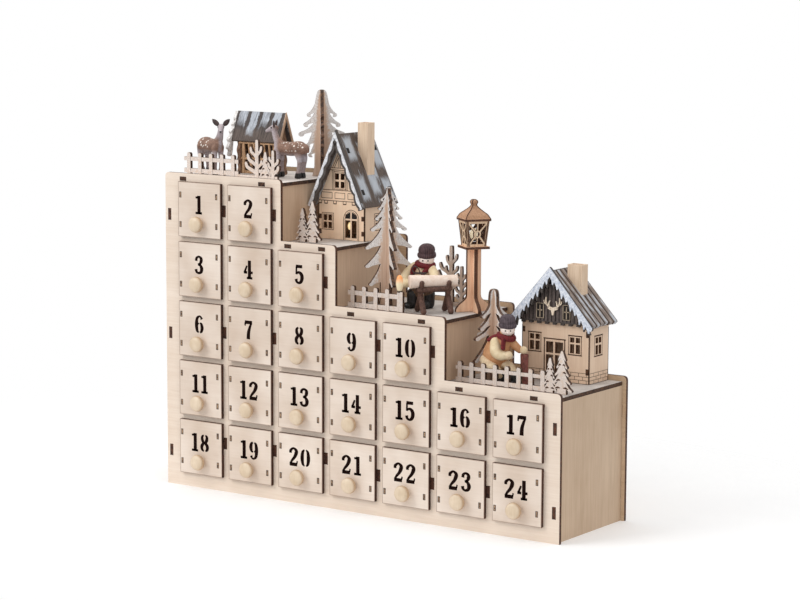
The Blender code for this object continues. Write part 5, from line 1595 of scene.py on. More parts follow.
GREY_TEETH = [2.4, 5.6, 4.0, 6.0, 4.2, 5.8, 4.4, 5.2]
WHITE_TEETH = [2.6, 4.6, 6.0, 3.8, 5.6, 3.4, 6.0, 3.8, 5.0]
build("chalet_barge",
      [board(icicles(40.2, 94.6, 48.6, 5.4, GREY_TEETH, CHALET_X, CHALET_Z), 61.6, 63.4)]
      + slope_band(40.6, 95.1, 48.9, straight(0.0), straight(3.0), CHALET_X, CHALET_Z, 60.8, 61.7),
      ROOF_DARK, **ON_ROOF)
build("chalet_icicles",
      [board(icicles(40.2, 94.6, 48.6, 3.9, WHITE_TEETH, CHALET_X, CHALET_Z), 60.2, 60.85)],
      snow_paint("icicle paint", (236, 240, 248), (168, 180, 200)), **ON_ROOF)
build("chalet_chimney", hollow_chimney((359.8, 373.6), (77.8, 87.0), 1.6,
                                       (196.0, 184.0, 186.0), 213.0, 206.0), CHIMNEY_PLY, **ON_ROOF)
print("chalet has", 2 * len(WHITE_TEETH), "icicles")

# %% [markdown]
# ## The chalet's gable
# Under the roof sits a dark gable of upright planks with two tiny windows and a small pair
# of antlers cut from pale ply. It stands a few millimetres in front of the wall, over a row
# of beam ends. Each plank is cut to the slope by its own length.


# %% Chalet gable planks
def on_chalet(points):
    """Points counted from the middle of the chalet's foot."""
    return np.array(points) + [CHALET_X, CHALET_Z]


PEAK, STEEPNESS = CHALET_RIDGE - 3.3 * SLOPE / HALF_SPAN, DROP / HALF_SPAN
half_gable = (PEAK - 52.6) / STEEPNESS
# Painted shade: the black board behind the gable planks fills the gaps between them and under the
# eaves.
build("chalet_gable_back", [board(on_chalet(
    [(-31.6, 48.8), (31.6, 48.8), (half_gable, 52.6), (0.0, PEAK - 0.2), (-half_gable, 52.6)]),
    67.8, 71.2)], OPENING_SHADE, **ON_WALL)
planks = []
for k, x in enumerate(np.arange(-28.6, 28.7, 3.58)):
    top = min(PEAK - 1.2 - (abs(x) + 1.6) * STEEPNESS, 84.0)
    planks.append(sheet(CHALET_X + x - 1.3, CHALET_X + x + 1.3, CHALET_Z + 49.6, CHALET_Z + top,
                        67.1 + 0.25 * (k % 2), 67.9))
build("chalet_gable_planks", planks, dark_stain("gable plank stain", (46, 39, 37), (114, 101, 96)),
      **ON_WALL)
beams = [block((CHALET_X + x - 1.5, CHALET_X + x + 1.5), (68.4, 71.1),
               (CHALET_Z + 46.7, CHALET_Z + 48.9)) for x in np.arange(-30.0, 30.1, 7.5)]
beams.append(block((CHALET_X - 31.8, CHALET_X + 31.8), (67.4, 71.1),
                   (CHALET_Z + 48.7, CHALET_Z + 49.8)))
build("chalet_beam_ends", beams, ROOF_DARK, **ON_WALL)
print("gable has", len(planks), "planks")

# %% Gable windows and antlers
# Painted shade: the two gable windows' black glass stands for the dark behind the holes.
bars, glass = [], []
frame_pen, bar_pen = (pen(CHALET_X, CHALET_Z, near, 66.9) for near in (66.6, 66.5))
for x in (-12.6, 12.6):
    glass.append(block((CHALET_X + x - 3.1, CHALET_X + x + 3.1), (66.85, 67.3),
                       (CHALET_Z + 52.0, CHALET_Z + 63.6)))
    bars += frame_lines(frame_pen, x - 3.3, x + 3.3, 51.8, 63.8, 0.45)
    bars += [bar_pen((x, 52.6), (x, 62.4), width=0.8),
             bar_pen((x - 2.2, 58.2), (x + 2.2, 58.2), width=0.8)]
build("chalet_gable_window_shade", glass, OPENING_SHADE, **ON_WALL)
build("chalet_gable_bars", bars, plain_ply("gable window bar", (214, 196, 172), (150, 130, 108)),
      **ON_WALL)
TINES = [[(0.9, 60.6, 1.6), (3.2, 61.4, 1.3), (5.6, 63.4, 1.2), (6.6, 66.2, 1.0), (6.4, 69.4, 0.7)],
         [(3.6, 61.8, 1.0), (3.8, 64.2, 0.8), (3.0, 66.6, 0.6)],
         [(5.8, 63.4, 1.0), (7.8, 64.6, 0.8), (8.6, 66.8, 0.6)],
         [(1.0, 59.6, 1.5), (3.0, 59.9, 1.3), (4.8, 60.6, 0.5)]]
SKULL = [(0.0, 61.2, 3.0), (0.0, 58.8, 3.0), (0.0, 56.6, 1.8), (0.0, 54.9, 1.3)]
antler = [stroke([(CHALET_X + sign * u, CHALET_Z + v, w) for u, v, w in line], 65.6, 66.6)
          for sign in (-1, 1) for line in TINES]
antler.append(stroke([(CHALET_X + u, CHALET_Z + v, w) for u, v, w in SKULL], 65.5, 66.6))
build("chalet_antlers", antler, plain_ply("antler plywood", (250, 236, 216), (234, 212, 186)),
      **ON_WALL)
print("antlers have", 2 * len(TINES), "tines")

# %% [markdown]
# ## Lines on the chalet
# The chalet's front has two framed windows and a door frame, and both walls have courses of
# bricks burnt into their foot. Every other course is shifted by half a brick.


# %% Burnt lines of the chalet
def brick_lines(u0, u1, line, course=2.9, brick=7.4):
    """Four level lines a course apart, and upright joints a brick apart between them."""
    lines = [line((u0, course * k), (u1, course * k), width=0.35) for k in range(4)]
    for k in range(3):
        joints = np.arange(math.ceil(u0 / brick) * brick + (brick / 2 if k % 2 else 0), u1, brick)
        lines += [line((u, course * k), (u, course * (k + 1)), width=0.35) for u in joints]
    return lines


chalet_line = pen(CHALET_X, CHALET_Z, CHALET_FRONT - 0.07, CHALET_FRONT + 0.05)
lines = []
for x0, x1 in ((-25.8, -14.0), (12.6, 24.4)):
    lines += frame_lines(chalet_line, x0, x1, 23.2, 38.6, 0.6)
    lines += [chalet_line((x0 - 0.8, z), (x1 + 0.8, z), width=0.7) for z in (22.9, 38.9)]
lines += [chalet_line(*ends, width=1.0) for ends in (
    ((-10.6, 0.0), (-10.6, 34.8)), ((8.8, 0.0), (8.8, 34.8)), ((-11.6, 34.6), (9.8, 34.6)))]
lines += brick_lines(-31.6, -11.4, chalet_line) + brick_lines(9.4, 31.4, chalet_line)
lines += [chalet_line((x, 0.0), (x, 44.0), width=width) for x, width in ((31.7, 0.9), (-31.9, 0.7))]
for x0, x1 in ((28.8, 31.9), (-32.1, -29.2)):
    for z0, z1 in ((38.2, 42.9), (7.4, 12.4)):
        lines.append(sheet(CHALET_X + x0, CHALET_X + x1, CHALET_Z + z0, CHALET_Z + z1,
                           CHALET_FRONT - 0.07, CHALET_FRONT + 0.05))
side_line = pen(CHALET_FRONT, CHALET_Z, -0.05, 0.07)
side = frame_lines(side_line, 8.0, 20.2, 22.4, 38.6, 0.6)
side += [side_line((7.2, z), (21.0, z), width=0.7) for z in (22.0, 39.0)]
side += brick_lines(0.6, 30.2, side_line)
side += [side_line((y, 0.0), (y, 44.0), width=0.8) for y in (0.5, 30.1)]
lines += [sideways(part, CHALET_X + 32.2) for part in side]
build("chalet_burnt_lines", lines, SCORCH, **ON_WALL)
print("chalet walls have", len(lines), "burnt lines")

# %% [markdown]
# ## Painted fences, bushes and firs
# These are cut from one flat ply each: pickets on two rails, little firs with drooping
# branches and bare bushes with arms that curl upwards. The face is painted white and the
# laser-cut edge stays dark. Each shape is drawn once in shares of its own width and height.

# %% Little firs
# points of one tier as (share of its reach, share of the tier's rise above its tip)
FIR_TIER = ((0.42, 0.30), (0.72, 0.02), (0.94, -0.10), (1.0, 0.03), (0.95, 0.16), (0.70, 0.46))
FIR_SLIT = ((0.64, 0.08, 0.45), (0.40, 0.24, 1.5), (0.14, 0.20, 0.4))


def fir_outline(base, x, height, half, tiers):
    """Closed outline of a flat fir: each tier droops to a rounded tip and is undercut, so a
    narrow notch runs inwards and upwards above the next tier's tip."""
    rise = height / (tiers + 0.7)
    right = [(half * 0.42, 0.0)]
    for k in range(tiers):
        reach, tip = half * (1 - 0.8 * k / tiers), rise * (k + 0.42)
        right += [(reach * u, tip + rise * v) for u, v in FIR_TIER]
    right += [(0.9, height - 0.9), (0.0, height)]
    left = [(-u, v) for u, v in right[::-1][1:]]
    return [(x + u, base + v) for u, v in right + left]


def fir_cuts(base, x, height, half, tiers, near, far):
    """The dark slits that the laser left between a fir's branches."""
    rise, cuts = height / (tiers + 0.7), []
    for k in range(tiers - 1):
        reach, low = half * (1 - 0.8 * k / tiers), rise * (k + 0.62)
        for sign in (-1, 1):
            if (k + (sign > 0)) % 3 != 2:
                slit = [(x + sign * reach * u, base + low + rise * v, w) for u, v, w in FIR_SLIT]
                cuts.append(stroke(slit, near, far, 8))
    return cuts


print("a fir of five tiers has", len(fir_outline(0, 0, 30, 8, 5)), "corners")

# %% Bushes and pickets
# points of one arm as (share of its reach, share of its rise, share of its width)
BUSH_ARM = ((0.45, 0.14, 1.0), (0.86, 0.42, 0.95), (1.0, 0.80, 0.9), (1.0, 1.0, 0.35))


def bush(x, base, height, half, arms, near, far):
    """A bare bush: a trunk and arms given as (side, root height, reach, rise, width). An arm
    leaves the trunk sideways and curls up to a rounded tip. Each arm is a hair's breadth
    thinner than the one before, so that no two faces lie in the same plane."""
    trunk = [(x, base, half * 2.2), (x, base + height * 0.6, half * 1.9),
             (x, base + height - half, half * 1.6), (x, base + height, half * 0.5)]
    parts = [stroke(trunk, near, far, 20)]
    for k, (side, root, reach, rise, width) in enumerate(arms):
        shift = 0.02 * (k + 1)
        arm = [(x, base + root - 1.5, width)]
        arm += [(x + side * reach * u, base + root + rise * v, width * w) for u, v, w in BUSH_ARM]
        parts.append(stroke(arm, near + shift, far - shift, 22))
    return parts


def picket_row(base, x0, x1, first, spacing, count, width, rails, height, near, far):
    """Blunt-topped pickets on two rails."""
    parts = [block((x0, x1), (near + 0.25, far - 0.25), (base + low, base + high))
             for low, high in rails]
    half, top = width / 2, base + height
    for k in range(count):
        x, wobble = first + spacing * k, 0.35 * math.sin(k * 2.3)
        parts.append(board([(x - half, base), (x + half, base), (x + half - 0.1, top - 1.3),
                            (x + width * 0.28 + wobble * 0.3, top - 0.2), (x - width * 0.3, top),
                            (x - half + 0.1, top - 1.1)], near, far))
    return parts


def flat_piece(name, node, parts, finish, cuts=()):
    """One painted board in place of its packed node, with its burnt slits as a second piece."""
    build(name, parts, finish, slot="snow_paint", replaces=node)
    if cuts:
        build(name + "_slits", cuts, SCORCH, slot="snow_paint")


WHITE_BOARD = snow_board("white painted ply", 0.86)
THIN_WHITE = snow_board("thinly painted ply", 0.7)
print("board paints ready")

# %% [markdown]
# Where a fence, a fir and a bush share one board, each is a hair's breadth thicker or
# thinner than the next, and the slits start just in front of the fir's face.

# %% Fence by the shed
near, far, base = 18.0, 21.0, TOP_STEP
fir = (base, 95.2, 24.0, 6.2, 4)
parts = picket_row(base, 6.0, 66.0, 11.4, 12.15, 5, 3.9, ((1.9, 5.6), (12.2, 15.6)), 19.3,
                   near, far)
parts += [block((x0, 108.0), (near + 0.3, far - 0.3), (base + low, base + high))
          for x0, low, high in ((60.0, 0.0, 3.2), (82.0, 5.6, 8.4))]
parts.append(board(fir_outline(*fir), near + 0.1, far - 0.1))
parts += [block((x - 0.8, x + 0.8), (near + 0.4, far - 0.4), (base + 3.0, base + 5.8))
          for x in (90.4, 93.6, 96.8, 100.2)]
parts += bush(86.2, base, 33.8, 1.8, (
    (-1, 6.5, 11.5, 8.0, 3.2), (-1, 13.0, 9.6, 8.5, 3.0), (-1, 20.0, 6.6, 7.5, 2.6),
    (1, 21.5, 4.6, 7.0, 2.6), (1, 10.5, 5.0, 6.0, 2.6)), near, far)
parts += bush(103.4, base, 25.5, 1.6, (
    (1, 6.0, 5.6, 6.5, 2.8), (1, 12.5, 5.2, 6.0, 2.6), (-1, 9.0, 4.6, 6.0, 2.4),
    (-1, 15.0, 3.8, 5.0, 2.2)), near, far)
flat_piece("fence_by_the_shed", "fence_1", parts, WHITE_BOARD,
           fir_cuts(*fir, near - 0.02, near + 0.12))
print("the fence by the shed has", len(parts), "parts")

# %% The other fences and the pair of firs
firs = ((STEP_2, 132.4, 28.6, 7.0, 5), (STEP_2, 143.0, 35.2, 8.6, 5))
depths = ((21.05, 24.0), (21.0, 24.05))
flat_piece("fir_pair_by_the_house", "fir_pair",
           [board(fir_outline(*fir), *depth) for fir, depth in zip(firs, depths)], WHITE_BOARD,
           [cut for fir in firs for cut in fir_cuts(*fir, 20.93, 21.1)])

parts = picket_row(STEP_3, 182.0, 236.0, 187.0, 11.75, 4, 4.0, ((1.3, 5.2), (11.4, 15.2)), 19.1,
                   near, far)
parts.append(block((232.2, 237.8), (near + 0.1, far - 0.1), (STEP_3, STEP_3 + 17.6)))
flat_piece("fence_by_the_log", "fence_2", parts, WHITE_BOARD)

near, far = 20.0, 23.0
small_fir, tall_fir = (LOW_STEP, 379.4, 28.6, 6.6, 5), (LOW_STEP, 390.4, 35.2, 9.6, 5)
parts = picket_row(LOW_STEP, 289.4, 379.8, 293.4, 11.3, 8, 4.0, ((0.9, 4.4), (10.8, 13.8)), 17.4,
                   near, far)
parts += [board(fir_outline(*small_fir), near - 0.05, far),
          board(fir_outline(*tall_fir), near - 0.1, far + 0.05)]
flat_piece("fence_by_the_chalet", "fence_3", parts, WHITE_BOARD,
           fir_cuts(*small_fir, near - 0.12, near) + fir_cuts(*tall_fir, near - 0.17, near))
print("the fence by the chalet has", len(parts), "parts")

# %% Bare tree by the lantern
near, far, base = 80.0, 83.0, STEP_3
parts = bush(244.2, base, 50.6, 1.8, (
    (-1, 11.0, 8.6, 8.0, 2.6), (-1, 20.0, 12.6, 9.5, 2.6), (-1, 27.5, 11.0, 8.5, 2.4),
    (-1, 34.5, 4.4, 8.0, 2.2), (1, 15.0, 6.6, 7.5, 2.4), (1, 27.5, 5.8, 6.5, 2.3),
    (1, 36.5, 5.2, 7.5, 2.2), (-1, 25.0, 5.4, 8.5, 2.0)), near, far)
parts += bush(254.4, base, 34.0, 1.5, (
    (-1, 5.0, 4.6, 5.0, 2.2), (1, 4.0, 4.6, 5.0, 2.2), (-1, 11.0, 5.4, 5.0, 2.2),
    (1, 10.0, 4.4, 5.0, 2.2), (-1, 17.0, 5.0, 5.0, 2.1), (1, 16.0, 4.0, 5.0, 2.1),
    (-1, 23.0, 4.0, 5.0, 2.0), (1, 22.5, 3.4, 5.0, 2.0)), near + 0.3, far - 0.3)
parts.append(block((236.0, 258.0), (near + 0.5, far - 0.5), (base, base + 3.0)))
flat_piece("bare_tree_by_the_lantern", "bare_tree", parts, THIN_WHITE)
print("fences and little trees are in place")

# %% [markdown]
# ## Curved branches for the crossed trees
# The packed trees have straight-edged branches. Here each board is cut again with branches
# that sweep down in a hollow curve and end in a thick rounded tip, on the same tips, notches
# and slots, so the tree finish from above still fits.


# %% Crossed trees
def tree_outline(foot, blunt, lift, tiers, crown):
    """Half outlines joined to a closed one. A tier is (reach, tip height, notch half width);
    between two notches the edge is one smooth line through a handful of points."""
    right = [(foot, 0.0), (foot * 0.8, tiers[0][1] * 0.45), (tiers[0][2], tiers[0][1] + lift)]
    notches = [(tier[2], tier[1] + lift) for tier in tiers[1:]] + crown[:1]
    for (reach, tip, inner), (next_u, next_v) in zip(tiers, notches):
        span, rise = reach - next_u, next_v - tip
        bend = [(inner, tip + lift), (inner + (reach - inner) * 0.5, tip + lift * 0.35),
                (reach - blunt, tip - blunt * 0.42), (reach - blunt * 0.2, tip - blunt * 0.36),
                (reach + 0.1, tip + blunt * 0.15), (reach - blunt * 0.5, tip + blunt * 0.62),
                (next_u + span * 0.50, tip + rise * 0.40),
                (next_u + span * 0.20, tip + rise * 0.70), (next_u, next_v)]
        right += [tuple(point) for point in smooth_line(bend, 34)[1:]]
    right += [tuple(point) for point in smooth_line(crown, 12)[1:]]
    return right + [(-u, v) for u, v in right[::-1]]


CUT_TREES = {
    "tree_1": (8.2, 3.6, 2.0, [(11.8, 17.6, 6.4), (13.8, 26.2, 7.0), (20.2, 35.6, 8.6),
                               (16.0, 43.8, 7.0), (13.0, 52.4, 6.4)],
               [(6.2, 62.0), (4.7, 69.6), (3.4, 73.2), (1.2, 74.4)]),
    "tree_2": (8.2, 2.6, 1.8, [(17.0, 20.0, 7.0), (20.2, 35.4, 7.0), (20.2, 50.8, 6.8),
                               (15.6, 65.8, 6.2), (11.8, 75.0, 5.6), (9.0, 83.2, 4.6),
                               (7.2, 90.8, 3.8)], [(2.6, 96.6), (2.0, 99.6), (1.0, 101.4)]),
    "tree_3": (9.0, 2.8, 2.6, [(20.4, 16.6, 9.4), (19.8, 34.6, 5.4), (15.1, 42.6, 4.4),
                               (13.1, 52.6, 4.2)],
               [(5.0, 61.4), (4.6, 70.0), (3.4, 73.6), (1.2, 74.7)])}
for name, shape in CUT_TREES.items():
    x, y, turn = TREES[name][:3]
    outline = tree_outline(*shape)
    base = node_box(name)[0][2] - at(0, 0, 0)[2] / MM
    boards = [moved(moved(board(outline, -PLY / 2, PLY / 2), turn=90.0 * k), x, y, base, turn)
              for k in (0, 1)]
    build(name + "_boards", boards, tree_board(name, *TREES[name]), slot="tree_plywood",
          replaces=name)
print("trees have", [len(shape[3]) for shape in CUT_TREES.values()], "tiers")

# %% [markdown]
# ## Hay shed
# A manger for the deer: two wavy end boards, a back board, a sloping rack with hay bars and
# a steep roof brushed white in broad stripes. The left end of the roof carries a wavy strip
# of snow, the right end a narrow plain edge.

# %% Shed roof paint
SHED_X0, SHED_X1, SHED_Y, SHED_Z = 29.6, 82.2, 64.5, TOP_STEP


def shed_roof_paint():
    """Broad white brush stripes down the slope, and a browner band along the eaves. down =
    distance from the ridge; the middle stripe runs furthest down."""
    roof = Recipe("shed roof stain")
    px, py, _ = roof.axes()
    corner = at(0, 0, 0) / MM
    down = abs(py - (corner[1] + SHED_Y)) * 2.6

    def laid(u, v):
        """A flat place for the noise to follow."""
        return roof.node("ShaderNodeCombineXYZ", None, {0: u, 1: v, 2: 0.0})

    lay = laid(px + down * 0.10, down * 0.07)
    broad, fine = roof.noise(5.6, lay, 1.0, 0.4), roof.noise(0.9, lay, 4.0, 0.7)
    patches = roof.noise(5.0, laid(px, down), 3.0, 0.6)
    stripe = abs((px + down * 0.12 + patches * 5.0).wrap(12.4) - 6.2)
    bands = (stripe + fine * 1.6).ramp(2.2, 3.6)
    off_middle = abs(px - (corner[0] + 48.0)).ramp(6.0, 10.0)
    faded = (down + patches * 8.0 + off_middle * 9.0).ramp(20.0, 26.0)
    white = bands * (broad * 0.6 + fine * 0.5).ramp(0.34, 0.56) * (1.0 - faded)
    stain = roof.mix(fine.ramp(0.3, 0.7), tint(38, 34, 34), tint(88, 78, 74))
    eaves = roof.mix(fine.ramp(0.3, 0.7), tint(52, 42, 38), tint(112, 98, 90))
    stain = roof.mix((down + patches * 8.0).ramp(17.0, 24.0), stain, eaves)
    snow = roof.mix(fine.ramp(0.25, 0.75), tint(120, 126, 136), tint(222, 228, 236))
    return roof.done(roof.mix(white * 0.95, stain, snow), 0.75, fine, 0.12)


ON_SHED = {"slot": "lantern_plywood"}
print("the shed's ridge runs at", SHED_Y, "mm from the front")


# %% Shed roof and its edges
def in_side_view(part):
    """A part drawn in front view, turned so that its old X runs along Y."""
    verts, faces = part
    verts = np.asarray(verts)
    return np.column_stack([verts[:, 1], verts[:, 0], verts[:, 2]]), faces


slope = np.array([(0.0, 53.9), (9.9, 28.7), (8.6, 27.6), (0.0, 47.4)])
slopes = [half + [SHED_Y, SHED_Z] for half in (slope, (slope * [-1, 1])[::-1])]
build("shed_roof_boards", [board(line, SHED_X0, SHED_X1, "side") for line in slopes],
      shed_roof_paint(), replaces="hay_shed", **ON_SHED)

SCALLOPS = [(0.0, 53.6), (-3.4, 48.0), (-3.0, 45.6), (-6.8, 42.4), (-6.0, 39.4), (-10.2, 36.4),
            (-9.0, 33.4), (-13.2, 29.8), (-11.9, 26.4), (-14.6, 22.0), (-11.8, 19.6), (-12.6, 15.6),
            (-9.8, 14.6), (-8.0, 20.0), (-6.6, 28.6), (0.0, 45.6)]
scallops = smooth_line(SCALLOPS, 90)
outline = np.vstack([scallops[:-1], (scallops * [-1, 1])[::-1][:-1]])
build("shed_snow_edge", [board(outline + [SHED_Y, SHED_Z], 26.8, 29.7, "side")],
      snow_paint("snow on the shed", (240, 238, 236), (172, 164, 158)), **ON_SHED)
edge = slope_band(10.2, 54.4, 28.0, straight(0.0), straight(2.0), SHED_Y, SHED_Z, 82.1, 83.1)
build("shed_right_edge", [in_side_view(part) for part in edge],
      plain_ply("shed edge plywood", (206, 174, 146), (164, 130, 104)), **ON_SHED)
print("the snow's edge has", len(outline), "points")

# %% Shed boards and rack
WAVY = [(-7.2, 0.0), (-5.6, 5.0), (-7.4, 10.0), (-6.2, 15.0), (-7.6, 20.0), (-6.0, 25.0),
        (-6.4, 30.4), (0.0, 46.6), (6.4, 30.4), (7.4, 24.0), (6.0, 18.0), (7.4, 12.0), (5.8, 6.0),
        (7.0, 0.0)]
wavy = smooth_line(WAVY + WAVY[:1], 66)[:-1] + [SHED_Y, SHED_Z]
build("shed_end_boards", [board(wavy, x - PLY / 2, x + PLY / 2, "side") for x in (35.0, 76.4)],
      bark("shed end boards", (66, 44, 32), (176, 140, 114)), **ON_SHED)
build("shed_back_board", [block((34.0, 77.4), (68.2, 70.4), (SHED_Z + 0.2, SHED_Z + 31.0))],
      dark_stain("shed shade", (48, 32, 24), (92, 64, 46)), **ON_SHED)
bars = [block((36.4, 75.0), depth, (SHED_Z + low, SHED_Z + high)) for depth, low, high in (
    ((59.2, 60.6), 12.0, 14.0), ((56.8, 58.2), 26.0, 28.0), ((60.2, 61.8), 0.0, 2.2))]
for x in np.arange(40.5, 74.0, 5.6):
    bars.append(tube([(x, 60.0, SHED_Z + 12.6, 0.9, 0.9), (x + 0.6, 57.2, SHED_Z + 27.0, 0.9, 0.9)],
                     10, 4))
bars += [block((x - 1.3, x + 1.3), (59.6, 61.4), (SHED_Z, SHED_Z + 28.0))
         for x in (38.6, 46.6, 72.6)]
build("shed_rack", bars, plain_ply("shed plywood", (222, 186, 148), (184, 142, 104)), **ON_SHED)
print("the rack has", len(bars), "bars")

# %% [markdown]
# ## Lantern
# Two boards slotted together at right angles make the post and its feet. On it stand a
# square slab, four tapering panels of pierced ply and a cap whose sides curve inwards. The
# whole is turned on the tread, so all parts are worked out about its own middle and turned
# at the end. The post's feet, its edges and the two slabs have a thin burnt rim.

# %% Lantern post and slabs
ON_LANTERN = {"slot": "lantern_plywood"}
LAMP_AT = dict(x=277.2, y=64.4, z=STEP_3, turn=53.0)
POST_HALF, POST_TOP = 6.0, 53.0
foot_line = smooth_line([(15.6, 0.0), (15.4, 2.4), (12.6, 6.0), (9.0, 8.8), (6.6, 11.4),
                         (POST_HALF, 14.0)], 24)
outline = np.vstack([foot_line, [[POST_HALF, POST_TOP]]])
outline = np.vstack([outline, (outline * [-1, 1])[::-1]])


def quarter(part, turns):
    """A part about the lantern's own middle, turned by quarter turns, then set in place."""
    return moved(moved(part, turn=90.0 * turns), **LAMP_AT)


post = [quarter(board(outline, -PLY / 2, PLY / 2), turns) for turns in (0, 1)]
rim = [(u + 0.02, v, 0.2) for u, v in foot_line]
burnt = []
for turns in range(4):
    burnt.append(quarter(stroke(rim, -1.52, 1.52, 40), turns))
    burnt.append(quarter(block((5.9, 6.08), (-1.52, 1.52), (14.0, 52.9)), turns))
    for r, low, high in ((10.4, 52.75, 54.75), (11.2, 75.95, 77.75)):
        edge = block((-r - 0.04, r + 0.04), (-r - 0.04, -r + 0.2), (low, high))
        burnt.append(quarter(edge, turns))
slabs = [moved(block((-r, r), (-r, r), level), **LAMP_AT)
         for r, level in ((10.4, (52.7, 54.8)), (11.2, (75.9, 77.8)))]
build("lantern_post", post + slabs, plain_ply("lantern plywood", (252, 214, 182), (222, 176, 142)),
      replaces="lantern", **ON_LANTERN)
print("the post stands", POST_TOP, "mm tall")

# %% Lantern cap
CAP_LINE = smooth_line([(10.9, 77.7), (10.2, 78.9), (9.0, 81.0), (6.3, 83.4), (3.7, 85.8),
                        (2.0, 88.0), (1.8, 89.2), (2.4, 90.8), (2.1, 92.2), (1.1, 93.0),
                        (0.2, 93.1)], 36)
cap = moved(moved(turned(CAP_LINE * [math.sqrt(2), 1], 4), turn=45.0), **LAMP_AT)
ridges = [quarter(tube([(r, r, h, 0.42, 0.42) for r, h in CAP_LINE[:-1]], 8, 28), turns)
          for turns in range(4)]
build("lantern_cap", [cap], plain_ply("lantern cap ply", (194, 150, 116), (154, 112, 82)),
      **ON_LANTERN)
print("the cap is up to", CAP_LINE[:, 1].max().round(1), "mm high")

# %% [markdown]
# Each bar of the tracery has a slightly wider burnt bar behind it: the dark rim that a laser
# leaves on thin ply. The bars are drawn flat, as lines with a width, and then laid on the
# four sides of the lantern, which widen upwards.


# %% Lantern tracery
def on_panel(part, turns):
    """Lay a part drawn flat (u across, depth, v up) on a side of the tapering lantern: the
    side stands r(v) = 7.9 + 2.1 (v - 54) / 22.1 from the middle."""
    verts, faces = part
    verts = np.array(verts)
    r = 7.9 + 2.1 * (verts[:, 2] - 54.0) / 22.1
    laid = np.column_stack([verts[:, 0] * r / 9.0, verts[:, 1] - r, verts[:, 2]])
    return quarter((laid, faces), turns)


circle = [(2.5 * math.cos(a), 65.0 + 2.7 * math.sin(a)) for a in np.linspace(0, 2 * np.pi, 13)]
TRACERY = [([(-8.1, 54.7), (-8.1, 76.0)], 1.8), ([(8.1, 54.7), (8.1, 76.0)], 1.8),
           ([(-9.0, 55.8), (9.0, 55.8)], 1.9), ([(-9.0, 74.9), (9.0, 74.9)], 1.9),
           ([(-7.4, 56.4), (-1.8, 63.2)], 1.15), ([(1.8, 66.8), (7.4, 74.2)], 1.15),
           ([(7.4, 56.4), (1.8, 63.2)], 1.15), ([(-1.8, 66.8), (-7.4, 74.2)], 1.15), (circle, 1.1),
           ([(0.0, 67.4), (0.0, 74.6)], 0.8), ([(0.0, 56.2), (0.0, 62.6)], 0.8)]
light_bars, dark_bars = [], []
for turns in range(4):
    for k, (line, width) in enumerate(TRACERY):
        for bars, wide, near, far in ((light_bars, width, -0.02 * k, 0.9),
                                      (dark_bars, width + 0.8, 0.45 + 0.02 * k, 1.5)):
            bar = stroke([(u, v, wide) for u, v in line], near, far, 3 * len(line))
            bars.append(on_panel(bar, turns))
build("lantern_tracery", light_bars,
      plain_ply("pierced lantern ply", (240, 216, 186), (212, 178, 144)), **ON_LANTERN)
build("lantern_burnt_edges", burnt + ridges + dark_bars,
      dark_stain("lantern burnt edges", (48, 26, 14), (104, 62, 36)), **ON_LANTERN)
print("lantern has", len(light_bars), "bars")

# %% [markdown]
# ## Bulbs
# Three small warm lights: one in the lantern, one behind the house's door and one that
# stands on the last post of the fence. A bulb is an egg shape of milky glass that glows a
# little, with a darker socket below it.


# %% Bulbs
def glowing(name, glass, light, strength):
    """Milky glass lit from within; the glow is uneven, stronger in patches."""
    lit = Recipe(name)
    haze = lit.noise(1.6, None, 2.0)
    return lit.done(lit.mix(haze, tint(*glass), tint(250, 238, 214)), 0.25, haze, 0.01,
                    lit.mix(haze, tint(*light), tint(255, 226, 170)),
                    **{"Emission Strength": strength})


def amber_glass():
    """The fence bulb: cream at the foot, orange towards its tip, where the light sits."""
    lit = Recipe("amber bulb glass")
    haze = lit.noise(1.4, None, 2.0)
    height = lit.axes()[2] + haze * 3.0
    tip = height.ramp(194.5, 199.5)
    colour = lit.mix(tip, tint(226, 212, 182), tint(236, 166, 104))
    glow = lit.mix(tip, tint(236, 212, 168), tint(255, 132, 48))
    return lit.done(colour, 0.3, haze, 0.01, glow, **{"Emission Strength": 0.2})


def bulb(name, spot, radius, height, finish):
    """Glass bulb on a short socket."""
    glass = smooth_line([(0.02, height), (radius * 0.62, height * 0.9), (radius, height * 0.55),
                         (radius * 0.86, height * 0.2), (radius * 0.6, 0.0)], 24)
    socket = [(radius * u, v) for u, v in ((0.5, 0.3), (0.72, 0.1), (0.72, -1.2), (0.5, -1.5))]
    build(name, [moved(turned(glass, 28), *spot)], finish, smooth=60, slot="snow_paint")
    build(name + "_socket", [moved(turned(socket, 20), *spot)],
          gloss_paint(name + " socket", (52, 40, 30), (96, 78, 60), 0.5), smooth=40,
          slot="snow_paint")


bulb("lantern_bulb", (LAMP_AT["x"], LAMP_AT["y"], STEP_3 + 60.0), 3.4, 9.4,
     glowing("lantern bulb glass", (240, 232, 214), (255, 236, 200), 0.35))
bulb("door_bulb", (155.4, 58.6, STEP_2 + 8.4), 2.2, 6.6,
     glowing("door bulb glass", (238, 222, 190), (255, 214, 140), 0.8))
bulb("fence_bulb", (233.9, 19.5, STEP_3 + 18.4), 3.0, 13.4, amber_glass())
print("three bulbs glow")

# %% [markdown]
# ## Battery box and switch at the back
# The box of the lights sits behind the back board: a plain moulded case with a lid, held by
# a clip, and a slide switch with a ribbed thumb piece.


